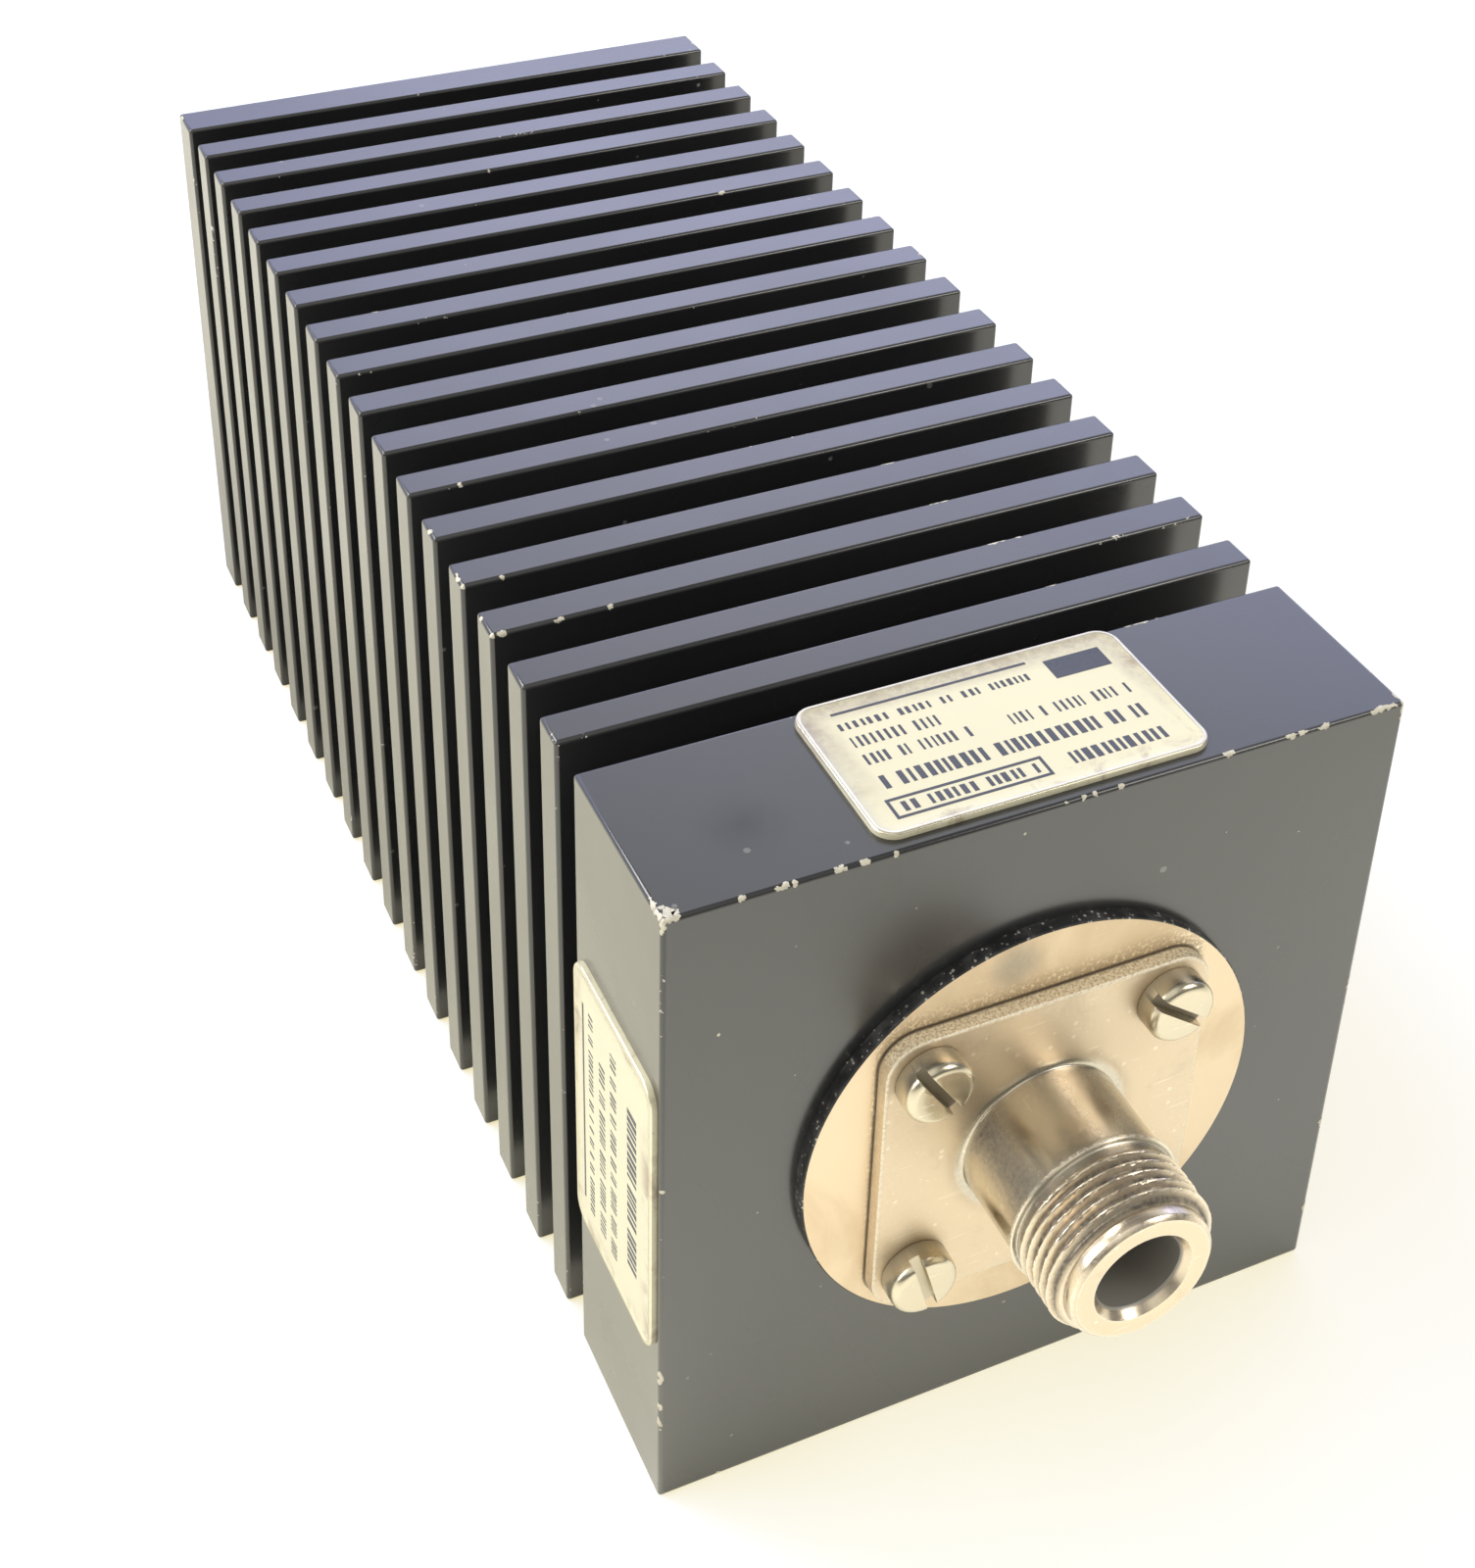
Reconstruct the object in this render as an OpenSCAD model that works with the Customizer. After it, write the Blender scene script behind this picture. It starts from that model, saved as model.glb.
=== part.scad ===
// Finned coaxial load resistor: a square radiator with a threaded coaxial socket on its front face.
// Millimetres, +Z up. The socket faces -Y and the fins run back along +Y.
// Origin: middle of the part's outline, on the plane that the radiator rests on.

/* [Radiator] */
// Width and height of the square block and of the fins
body_w = 69.85; // [66:0.05:78]
// Length of the radiator, from the block's face to the rear face
body_l = 158.75; // [155:0.05:175]
// Depth of the solid front block
block_d = 19.05; // [18:0.05:24]
// Number of fins, with the rear one
fin_count = 17; // [14:1:20]
// Thickness of a fin
fin_t = 3.95; // [2.8:0.05:4.2]
// Thickness of the rear fin
end_fin_t = 5.55; // [4:0.05:8]
// Diameter of the turned core between the fins
core_d = 42; // [41:0.5:50]
// Break on the rim edges of the block and fins
edge_break = 0.4; // [0.2:0.05:0.8]
// Break on the four long corners
corner_break = 0.6; // [0.3:0.1:1.5]
// Diameter of the blind chamber in the core
chamber_d = 32; // [30:0.5:34]
// Solid metal behind the chamber
end_wall = 28; // [24:0.5:34]

/* [Front flange] */
// Diameter of the disc on the block's face
disc_d = 44.8; // [44.6:0.1:50]
// Height of the disc above the block's face
disc_t = 1.35; // [1:0.05:2.5]
// Break on the disc's front edge
disc_break = 0.25; // [0.1:0.05:0.5]
// Diameter of the spigot seated in the block
spigot_d = 41; // [40.5:0.1:42]
// Length of the spigot
spigot_l = 15; // [13:0.5:16]
// Distance from the block's face to the seal groove
groove_s = 7; // [6.5:0.1:8]
// Depth of the seal groove in the spigot
groove_t = 1.6; // [1.3:0.05:1.9]
// Width of the seal groove
groove_w = 2.3; // [2.1:0.1:3]

/* [Connector body] */
// Width of the square mounting plate
plate_w = 31.75; // [31.2:0.05:33]
// Thickness of the mounting plate
plate_t = 1.6; // [1.2:0.1:2.6]
// Corner radius of the mounting plate
plate_r = 3.4; // [1.5:0.1:4]
// Diameter of the plain barrel
barrel_d = 15.5; // [14.6:0.1:15.7]
// Length of the plain barrel
barrel_l = 8.8; // [7.5:0.1:12]
// Flare where the barrel meets the plate
flare = 0.45; // [0.2:0.05:0.8]
// Diameter of the lip at the end of the barrel
lip_d = 16.3; // [16.2:0.05:17]
// Length of the lip
lip_l = 0.4; // [0.3:0.05:1]
// Diameter of the relief groove behind the thread
relief_d = 15.3; // [14.6:0.1:15.5]
// Length of the relief groove
relief_l = 1.1; // [0.6:0.1:2]
// Outside diameter of the coupling thread
thread_d = 15.875; // [15.8:0.005:15.9]
// Length of the coupling thread
thread_l = 5.2; // [4.6:0.1:7]
// Diameter of the plain nose in front of the thread
nose_d = 13.6; // [12.6:0.1:14.4]
// Length of the nose
nose_l = 1.4; // [1:0.1:2]
// Bevel on the nose
nose_break = 0.4; // [0.2:0.05:0.8]
// Diameter of the flared mouth
mouth_d = 9.4; // [8.6:0.1:10]
// Depth of the flared mouth
mouth_l = 0.9; // [0.5:0.1:1.5]
// Diameter of the socket behind the mouth
socket_d = 8.1; // [7.8:0.05:8.4]
// Depth of the socket
socket_l = 9.1; // [8.6:0.1:9.6]
// Diameter of the line bore behind the socket
line_d = 7; // [6.4:0.1:7.4]

/* [Connector contact] */
// Diameter of the centre contact
contact_d = 3.04; // [2.8:0.02:3.2]
// Diameter of the hole in the contact's tip
contact_hole_d = 1.68; // [1.5:0.02:1.8]
// Depth of the hole in the contact's tip
contact_hole_l = 5; // [4:0.1:6]
// Width of the slots that form the contact's fingers
contact_slot = 0.35; // [0.2:0.05:0.5]
// Distance from the nose to the contact's tip
tip_depth = 4.2; // [4:0.1:5]
// Diameter of the contact's rear pin
pin_d = 1.6; // [1.2:0.05:1.8]
// Length of the contact's rear pin
pin_l = 4.5; // [3:0.1:5]
// Length of the insulator around the contact
insulator_l = 6; // [4:0.1:7]
// Distance from the plate's rear face to the insulator
insulator_s = 2; // [1:0.1:2.2]

/* [Flange screws] */
// Distance between screw centres along each side of the plate
screw_pitch = 23.6; // [22.8:0.1:24]
// Diameter of the screw shank
screw_d = 4.1; // [3.4:0.1:4.4]
// Length of the shank under the head
screw_l = 8; // [6:0.1:8.5]
// Diameter of the screw head
head_d = 6.5; // [6:0.1:7.2]
// Height of the screw head
head_h = 2.5; // [2:0.1:3.2]
// Height of the domed part of the head
head_dome = 0.8; // [0.4:0.1:1.2]
// Width of the driver slot
slot_w = 1; // [0.8:0.05:1.5]
// Depth of the driver slot
slot_t = 1.2; // [0.8:0.05:1.6]

/* [Plates] */
// Length of both plates
label_l = 31.75; // [26:0.05:36]
// Width of both plates
label_w = 17.6; // [14:0.1:18.5]
// Thickness of both plates
label_t = 0.6; // [0.3:0.05:1]
// Corner radius of both plates
label_r = 2; // [1:0.1:3]
// Distance from the block's face to the top plate
label_s = 1.3; // [0.8:0.1:4]
// Shift of the top plate to the right
label_x = 0.4; // [-3:0.1:3]
// Distance from the block's face to the side plate
side_label_s = 0.7; // [0.5:0.1:4]
// Height of the side plate's middle
side_label_z = 34.9; // [26:0.1:42]

/* [Seal bead] */
// Diameter of the bead that seals the line
bead_d = 12; // [11:0.1:13]
// Length of the bead
bead_l = 6; // [5:0.1:7]
// Width of the seal groove in the bead
bead_groove_w = 1.8; // [1.6:0.1:2.4]
// Depth of the seal groove in the bead
bead_groove_t = 1.3; // [1:0.05:1.5]

/* [Resistor and taper] */
// Diameter of the resistor's ceramic tube
tube_d = 9; // [8.4:0.1:9.8]
// Bore of the ceramic tube
tube_bore_d = 5; // [4.6:0.1:5.6]
// Wall of the metal caps on the tube
cap_wall = 0.35; // [0.25:0.05:0.6]
// Length of the metal caps
cap_l = 8; // [6:0.1:9]
// End wall of the metal caps
cap_end = 1.2; // [0.8:0.1:2]
// Diameter of the line conductor's rear stub
stub_d = 4; // [3:0.1:4.3]
// Length of the straight line ahead of the cone
lead_l = 1.5; // [1:0.1:2.5]
// Length of the straight shoulder behind the cone
shoulder_l = 2; // [1:0.1:3]
// Outside diameter of the taper housing
housing_d = 28; // [26:0.1:28.5]
// Length of the centring collars on the taper housing
housing_collar_l = 5; // [3:0.1:7]
// Diameter of the coolant ports in the taper housing
port_d = 5; // [3:0.1:6]
// Smallest radial space between the taper and the caps
taper_end_gap = 0.6; // [0.4:0.05:1]
// Thickness of the ground plug's head
plug_head_l = 9; // [8:0.1:12]
// Diameter of the ground plug's stem
plug_stem_d = 14; // [12:0.1:15]
// Length of the ground plug's stem
plug_stem_l = 14; // [8:0.1:18]

/* [Fits] */
// Radial clearance of seated turned pieces
seat_fit = 0.02; // [0.01:0.005:0.05]
// Radial clearance of screws in the plate
screw_fit = 0.15; // [0.1:0.05:0.3]
// End gap between pieces of the line
line_gap = 0.25; // [0.1:0.05:0.4]

/* [Hidden] */
$fn = 96;

// Overlap of cutting tools
cut = 1;
// Turn of the four driver slots, from the upper left one
slot_turn = [-56, -38, -74, 20];
// Ratio of outer to inner diameter of a 50 ohm line in air
line_ratio = 2.303;

fin_gap = (body_l - block_d - (fin_count - 1) * fin_t - end_fin_t) / fin_count;
fin_pitch = fin_t + fin_gap;
axis_z = body_w / 2;
chamber_end = body_l - end_wall;

spigot_seat_d = spigot_d + 2 * seat_fit;
groove_d = spigot_d - 2 * groove_t;
plug_front = chamber_end - plug_head_l;
bead_seat_d = bead_d + 2 * seat_fit;
cone_s = bead_l - disc_t + lead_l;
cap_d = tube_d + 2 * seat_fit + 2 * cap_wall;
cap_seat_d = cap_d + 2 * seat_fit;
cap_s = spigot_l + shoulder_l;
horn_d = cap_d * line_ratio;
tube_s = cap_s + cap_end + line_gap;
tube_end = plug_front + cap_l - cap_end - line_gap;

barrel_top = plate_t + barrel_l;
lip_top = barrel_top + lip_l;
relief_top = lip_top + relief_l;
thread_top = relief_top + thread_l;
nose_top = thread_top + nose_l;

overall_l = body_l + disc_t + nose_top;
front_y = disc_t + nose_top - overall_l / 2;

// Puts a turned piece on the line's axis, s behind the block's face, running back
module on_axis(s) {
    translate([0, front_y + s, axis_z])
        rotate([-90, 0, 0])
            children();
}

// Puts a turned piece on the line's axis, s behind the block's face, running forward
module facing(s) {
    translate([0, front_y + s, axis_z])
        rotate([90, 0, 0])
            children();
}

// Repeats a piece at the four screw places, with its number in $corner
module at_screws() {
    for ($corner = [0:3])
        translate([($corner % 2 == 0 ? -1 : 1) * screw_pitch / 2, ($corner < 2 ? 1 : -1) * screw_pitch / 2, 0])
            children();
}

// Rectangle with broken corners
module broken(w, h, b) {
    polygon([[b, 0], [w - b, 0], [w, b], [w, h - b], [w - b, h], [b, h], [0, h - b], [0, b]]);
}

// Square slab of the radiator, s behind the block's face, with every edge broken
module slab(s, t) {
    translate([-body_w / 2, front_y + s, 0])
        intersection() {
            rotate([90, 0, 90])
                linear_extrude(body_w)
                    broken(t, body_w, edge_break);
            linear_extrude(body_w)
                broken(body_w, t, edge_break);
            translate([0, t, 0])
                rotate([90, 0, 0])
                    linear_extrude(t)
                        broken(body_w, body_w, corner_break);
        }
}

// Flat plate with round corners, centred in X and Y
module rounded_plate(w, h, t, r) {
    linear_extrude(t)
        union() {
            square([w - 2 * r, h], center = true);
            square([w, h - 2 * r], center = true);
            for (x = [-1, 1], y = [-1, 1])
                translate([x * (w / 2 - r), y * (h / 2 - r)])
                    circle(r = r, $fn = 48);
        }
}

// Ring of round section
module seal_ring(inner_d, outer_d) {
    section = (outer_d - inner_d) / 2 - 2 * seat_fit;
    rotate_extrude()
        translate([(inner_d + outer_d) / 4, 0])
            circle(d = section, $fn = 24);
}

module radiator() {
    color("#26282b")
        difference() {
            union() {
                slab(0, block_d);
                for (i = [0:fin_count - 2])
                    slab(block_d + fin_gap + i * fin_pitch, fin_t);
                slab(body_l - end_fin_t, end_fin_t);
                on_axis(block_d / 2)
                    cylinder(d = core_d, h = body_l - (block_d + end_fin_t) / 2);
            }
            on_axis(-cut)
                cylinder(d = spigot_seat_d, h = spigot_l + cut);
            on_axis(spigot_l - cut)
                cylinder(d = chamber_d, h = chamber_end - spigot_l + cut);
            on_axis(chamber_end - cut)
                cylinder(d = plug_stem_d + 2 * seat_fit, h = plug_stem_l + line_gap + cut);
        }
}

module load_flange() {
    color("#d8c49a")
        difference() {
            on_axis(-disc_t)
                rotate_extrude()
                    polygon([
                        [bead_seat_d / 2, 0], [disc_d / 2 - disc_break, 0], [disc_d / 2, disc_break],
                        [disc_d / 2, disc_t], [spigot_d / 2, disc_t],
                        [spigot_d / 2, disc_t + groove_s], [groove_d / 2, disc_t + groove_s],
                        [groove_d / 2, disc_t + groove_s + groove_w],
                        [spigot_d / 2, disc_t + groove_s + groove_w],
                        [spigot_d / 2, disc_t + spigot_l], [horn_d / 2, disc_t + spigot_l],
                        [line_d / 2, disc_t + cone_s], [line_d / 2, bead_l], [bead_seat_d / 2, bead_l]
                    ]);
            facing(-disc_t)
                at_screws()
                    translate([0, 0, -screw_l + plate_t - line_gap])
                        cylinder(d = screw_d + 2 * seat_fit, h = screw_l + cut, $fn = 48);
        }
}

module flange_seal_ring() {
    color("#222222")
        on_axis(groove_s + groove_w / 2)
            seal_ring(groove_d, spigot_seat_d);
}

module seal_bead() {
    groove_r = bead_d / 2 - bead_groove_t;
    color("#f2efe6")
        on_axis(-disc_t)
            rotate_extrude()
                polygon([
                    [contact_d / 2 + seat_fit, 0], [bead_d / 2, 0],
                    [bead_d / 2, (bead_l - bead_groove_w) / 2], [groove_r, (bead_l - bead_groove_w) / 2],
                    [groove_r, (bead_l + bead_groove_w) / 2], [bead_d / 2, (bead_l + bead_groove_w) / 2],
                    [bead_d / 2, bead_l], [contact_d / 2 + seat_fit, bead_l]
                ]);
}

module bead_seal_ring() {
    color("#222222")
        on_axis(bead_l / 2 - disc_t)
            seal_ring(bead_d - 2 * bead_groove_t, bead_seat_d);
}

module line_conductor() {
    color("#c9c4b8")
        on_axis(line_gap - disc_t)
            difference() {
                rotate_extrude()
                    polygon([
                        [0, 0], [contact_d / 2, 0], [contact_d / 2, cone_s + disc_t - line_gap],
                        [cap_d / 2, spigot_l + disc_t - line_gap], [cap_d / 2, cap_s + disc_t - line_gap],
                        [stub_d / 2, cap_s + disc_t - line_gap],
                        [stub_d / 2, cap_s + cap_l + disc_t - line_gap], [0, cap_s + cap_l + disc_t - line_gap]
                    ]);
                translate([0, 0, -cut])
                    cylinder(d = pin_d + 2 * seat_fit, h = pin_l + cut, $fn = 48);
            }
}

module taper_housing() {
    steps = 12;
    length = plug_front - spigot_l;
    small_d = cap_d + 2 * taper_end_gap;
    collar_d_in = chamber_d - 2 * seat_fit;
    color("#c9a85a")
        on_axis(spigot_l)
            difference() {
                rotate_extrude()
                    polygon(concat(
                        [for (i = [0:steps]) [horn_d / 2 * pow(small_d / horn_d, i / steps), length * i / steps]],
                        [
                            [collar_d_in / 2, length], [collar_d_in / 2, length - housing_collar_l],
                            [housing_d / 2, length - housing_collar_l], [housing_d / 2, housing_collar_l],
                            [collar_d_in / 2, housing_collar_l], [collar_d_in / 2, 0]
                        ]
                    ));
                for (z = [housing_collar_l + port_d, length - housing_collar_l - port_d], a = [0:90:270])
                    translate([0, 0, z])
                        rotate([0, 90, a])
                            cylinder(d = port_d, h = housing_d / 2 + cut, $fn = 32);
            }
}

module resistor_tube() {
    color("#e9e4d6")
        on_axis(tube_s)
            difference() {
                cylinder(d = tube_d, h = tube_end - tube_s);
                translate([0, 0, -cut])
                    cylinder(d = tube_bore_d, h = tube_end - tube_s + 2 * cut);
            }
}

// Metal cap on one end of the ceramic tube, open towards +Z
module tube_cap(hole_d) {
    difference() {
        cylinder(d = cap_d, h = cap_l);
        translate([0, 0, cap_end])
            cylinder(d = tube_d + 2 * seat_fit, h = cap_l);
        translate([0, 0, -cut])
            cylinder(d = hole_d, h = cap_end + 2 * cut);
    }
}

module resistor_input_cap() {
    color("#d9d6cc")
        on_axis(cap_s)
            tube_cap(stub_d + 2 * seat_fit);
}

module resistor_ground_cap() {
    color("#d9d6cc")
        facing(plug_front + cap_l)
            tube_cap(stub_d);
}

module ground_plug() {
    color("#b87e4e")
        on_axis(plug_front)
            difference() {
                union() {
                    cylinder(d = chamber_d - 2 * seat_fit, h = plug_head_l);
                    translate([0, 0, plug_head_l - cut])
                        cylinder(d = plug_stem_d, h = plug_stem_l + cut);
                }
                translate([0, 0, -cut])
                    cylinder(d = cap_seat_d, h = cap_l + cut);
            }
}

module connector_body() {
    color("#cdbd97")
        facing(-disc_t)
            difference() {
                union() {
                    rounded_plate(plate_w, plate_w, plate_t, plate_r);
                    rotate_extrude()
                        polygon([
                            [0, 0], [barrel_d / 2 + flare, 0], [barrel_d / 2 + flare, plate_t],
                            [barrel_d / 2, plate_t + flare], [barrel_d / 2, barrel_top],
                            [lip_d / 2, barrel_top], [lip_d / 2, lip_top],
                            [relief_d / 2, lip_top], [relief_d / 2, relief_top],
                            [thread_d / 2, relief_top], [thread_d / 2, thread_top],
                            [nose_d / 2, thread_top], [nose_d / 2, nose_top - nose_break],
                            [nose_d / 2 - nose_break, nose_top], [0, nose_top]
                        ]);
                }
                rotate_extrude()
                    polygon([
                        [0, -cut], [line_d / 2, -cut], [line_d / 2, nose_top - socket_l],
                        [socket_d / 2, nose_top - socket_l], [socket_d / 2, nose_top - mouth_l],
                        [mouth_d / 2, nose_top], [mouth_d / 2, nose_top + cut], [0, nose_top + cut]
                    ]);
                at_screws()
                    translate([0, 0, -cut])
                        cylinder(d = screw_d + 2 * screw_fit, h = plate_t + 2 * cut, $fn = 48);
            }
}

module connector_insulator() {
    color("#f4f1ea")
        facing(-disc_t)
            translate([0, 0, insulator_s])
                difference() {
                    cylinder(d = line_d - 2 * seat_fit, h = insulator_l);
                    translate([0, 0, -cut])
                        cylinder(d = contact_d + 2 * seat_fit, h = insulator_l + 2 * cut);
                }
}

module connector_contact() {
    tip = nose_top - tip_depth;
    color("#c98f5c")
        facing(-disc_t)
            difference() {
                union() {
                    cylinder(d = contact_d, h = tip, $fn = 64);
                    translate([0, 0, -pin_l])
                        cylinder(d = pin_d, h = pin_l + cut, $fn = 48);
                }
                translate([0, 0, tip - contact_hole_l])
                    cylinder(d = contact_hole_d, h = contact_hole_l + cut, $fn = 48);
                for (a = [0, 90])
                    rotate([0, 0, a])
                        translate([-contact_d, -contact_slot / 2, tip - contact_hole_l])
                            cube([2 * contact_d, contact_slot, contact_hole_l + cut]);
            }
}

// Slotted screw with a domed cheese head, seated at Z = 0 with its shank down
module slotted_screw(turn) {
    steps = 6;
    difference() {
        union() {
            rotate_extrude($fn = 64)
                polygon(concat(
                    [[0, 0], [head_d / 2, 0]],
                    [for (i = [0:steps])
                        let (a = 90 * i / steps)
                        [head_d / 2 - head_dome * (1 - cos(a)), head_h - head_dome * (1 - sin(a))]],
                    [[0, head_h]]
                ));
            translate([0, 0, -screw_l])
                cylinder(d = screw_d, h = screw_l + cut, $fn = 48);
        }
        rotate([0, 0, turn])
            translate([-head_d, -slot_w / 2, head_h - slot_t])
                cube([2 * head_d, slot_w, head_h]);
    }
}

module flange_screws() {
    color("#d9cfb4")
        facing(-disc_t - plate_t)
            at_screws()
                slotted_screw(slot_turn[$corner]);
}

module nameplate() {
    color("#efe6cc")
        translate([label_x, front_y + label_s + label_w / 2, body_w])
            rounded_plate(label_l, label_w, label_t, label_r);
}

module side_plate() {
    color("#efe6cc")
        translate([-body_w / 2, front_y + side_label_s + label_w / 2, side_label_z])
            rotate([0, -90, 0])
                rounded_plate(label_l, label_w, label_t, label_r);
}

radiator();
load_flange();
flange_seal_ring();
seal_bead();
bead_seal_ring();
line_conductor();
taper_housing();
resistor_tube();
resistor_input_cap();
resistor_ground_cap();
ground_plug();
connector_body();
connector_insulator();
connector_contact();
flange_screws();
nameplate();
side_plate();
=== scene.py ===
import math
import random

import bmesh
import bpy
from mathutils import Matrix, Vector, noise


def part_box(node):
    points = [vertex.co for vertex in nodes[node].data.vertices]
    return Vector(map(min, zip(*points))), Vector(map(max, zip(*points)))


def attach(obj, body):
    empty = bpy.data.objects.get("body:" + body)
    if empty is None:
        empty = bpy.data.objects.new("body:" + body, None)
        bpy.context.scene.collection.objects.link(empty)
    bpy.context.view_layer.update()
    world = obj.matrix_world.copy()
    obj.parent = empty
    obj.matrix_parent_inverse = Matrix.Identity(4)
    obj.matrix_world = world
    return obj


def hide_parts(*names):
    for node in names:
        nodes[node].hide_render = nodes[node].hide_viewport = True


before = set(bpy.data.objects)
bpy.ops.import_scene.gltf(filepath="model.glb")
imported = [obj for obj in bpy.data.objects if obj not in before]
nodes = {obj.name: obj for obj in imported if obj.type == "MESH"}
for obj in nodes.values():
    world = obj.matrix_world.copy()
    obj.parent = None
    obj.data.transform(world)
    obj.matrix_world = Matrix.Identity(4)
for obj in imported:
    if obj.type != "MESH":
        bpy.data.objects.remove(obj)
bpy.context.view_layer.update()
mm = 0.001  # Blender works in metres, the notes below in millimetres

radiatorLow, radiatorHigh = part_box("radiator")
socketLow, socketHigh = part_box("connector_body")
nameLow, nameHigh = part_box("nameplate")
sideLow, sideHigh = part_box("side_plate")
axisZ = (socketLow.z + socketHigh.z) / 2
blockFace = radiatorLow.y
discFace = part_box("load_flange")[0].y
noseFace = socketLow.y
up, left, front = Vector((0, 0, 1)), Vector((-1, 0, 0)), Vector((0, -1, 0))


# mesh helpers

def rounded(points, steps=4):
    # closed outline whose points may carry a rounding radius as a third number
    outline = []
    for i, point in enumerate(points):
        here = Vector(point[:2])
        if len(point) < 3:
            outline.append(here)
            continue
        toLast = (Vector(points[i - 1][:2]) - here).normalized()
        toNext = (Vector(points[(i + 1) % len(points)][:2]) - here).normalized()
        half = toLast.angle(toNext) / 2
        centre = here + (toLast + toNext).normalized() * point[2] / math.sin(half)
        arm = here + toLast * point[2] / math.tan(half) - centre
        end = here + toNext * point[2] / math.tan(half) - centre
        sweep = math.atan2(arm.x * end.y - arm.y * end.x, arm.dot(end))
        for k in range(steps + 1):
            turn = Matrix.Rotation(sweep * k / steps, 2)
            outline.append(centre + turn @ arm)
    return outline


def ringGrid(bm, rows, closed=False):
    loops = [[bm.verts.new(p) for p in row] for row in rows]
    for a, b in zip(loops, loops[1:] + loops[:1] if closed else loops[1:]):
        for i in range(len(a)):
            j = (i + 1) % len(a)
            bm.faces.new((a[i], a[j], b[j], b[i]))
    return loops


def circleRow(radius, y, count):
    turns = [2 * math.pi * i / count for i in range(count)]
    return [(radius * math.cos(t), y, axisZ + radius * math.sin(t)) for t in turns]


def turned(bm, profile, count):
    # ring turned round the socket's axis from a closed outline of (radius, y)
    return ringGrid(bm, [circleRow(r, y, count) for r, y in profile], closed=True)


def turnedSolid(bm, profile, count):
    # turned piece with a flat end on each side of the axis
    loops = ringGrid(bm, [circleRow(r, y, count) for r, y in profile])
    bm.faces.new(loops[0])
    bm.faces.new(loops[-1])


def linked(name, data):
    thing = bpy.data.objects.new(name, data)
    bpy.context.scene.collection.objects.link(thing)
    return thing


def toObject(name, bm, sharpAngle=32):
    bmesh.ops.recalc_face_normals(bm, faces=bm.faces)
    mesh = bpy.data.meshes.new(name)
    bm.to_mesh(mesh)
    bm.free()
    piece = linked(name, mesh)
    smoothen(piece, sharpAngle)
    return piece


def smoothen(piece, sharpAngle):
    piece.data.shade_smooth()
    piece.data.set_sharp_from_angle(angle=math.radians(sharpAngle))


def settle(piece, sharpAngle=32):
    # puts the modifiers' result into the mesh
    graph = bpy.context.evaluated_depsgraph_get()
    mesh = bpy.data.meshes.new_from_object(piece.evaluated_get(graph))
    piece.modifiers.clear()
    plain = piece.data
    piece.data = mesh
    bpy.data.meshes.remove(plain)
    mesh.name = piece.name
    smoothen(piece, sharpAngle)
    return piece


def carve(piece, tool, operation):
    cut = piece.modifiers.new(operation.lower(), "BOOLEAN")
    cut.operation = operation
    cut.solver = "EXACT"
    cut.object = tool
    settle(piece)
    bpy.data.objects.remove(tool)


def place(piece, material, slot, *replaced):
    piece.data.materials.clear()
    piece.data.materials.append(material)
    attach(piece, "root")
    if replaced:
        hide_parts(*replaced)
    return piece


# shader helpers

def emptyTree(holder):
    holder.use_nodes = True
    holder.node_tree.nodes.clear()
    return holder.node_tree


def put(tree, kind, values=None, **settings):
    node = tree.nodes.new("ShaderNode" + kind)
    for name, value in settings.items():
        setattr(node, name, value)
    for name, value in (values or {}).items():
        if isinstance(value, bpy.types.NodeSocket):
            tree.links.new(value, node.inputs[name])
        else:
            node.inputs[name].default_value = value
    return node


def math2(tree, operation, a, b=0.0, clamp=False):
    return put(tree, "Math", {0: a, 1: b}, operation=operation, use_clamp=clamp).outputs[0]


def times(tree, a, b):
    return math2(tree, "MULTIPLY", a, b)


def plus(tree, a, b):
    return math2(tree, "ADD", a, b)


def minus(tree, a, b, clamp=False):
    return math2(tree, "SUBTRACT", a, b, clamp)


def blend(tree, factor, a, b, kind="MIX"):
    values = {"Factor": factor, 6: a, 7: b}
    return put(tree, "Mix", values, data_type="RGBA", blend_type=kind).outputs[2]


def tint(tree, base, mask, share, colour):
    return blend(tree, times(tree, mask, share), base, colour)


def ramp(tree, value, low, high, toLow=0.0, toHigh=1.0):
    values = {"Value": value, "From Min": low, "From Max": high, "To Min": toLow, "To Max": toHigh}
    return put(tree, "MapRange", values, interpolation_type="SMOOTHSTEP").outputs[0]


def objectPoint(tree):
    return put(tree, "TexCoord").outputs["Object"]


def meshValue(tree, name):
    return put(tree, "Attribute", attribute_name=name).outputs["Fac"]


def vectorLength(tree, vector):
    return put(tree, "VectorMath", {0: vector}, operation="LENGTH").outputs["Value"]


def distanceTo(tree, spot):
    return put(tree, "VectorMath", {0: objectPoint(tree), 1: spot}, operation="DISTANCE").outputs["Value"]


def noiseOf(tree, point, scale, detail=3.0, roughness=0.55):
    values = {"Vector": point, "Scale": scale, "Detail": detail, "Roughness": roughness}
    return put(tree, "TexNoise", values).outputs["Fac"]


def newGroup(name, inputs, outputs):
    tree = bpy.data.node_groups.new(name, "ShaderNodeTree")
    for label, value in inputs.items():
        socket = tree.interface.new_socket(label, in_out="INPUT", socket_type="NodeSocketFloat")
        socket.default_value = value
    for label in outputs:
        tree.interface.new_socket(label, in_out="OUTPUT", socket_type="NodeSocketFloat")
    return tree, tree.nodes.new("NodeGroupInput"), tree.nodes.new("NodeGroupOutput")


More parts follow.
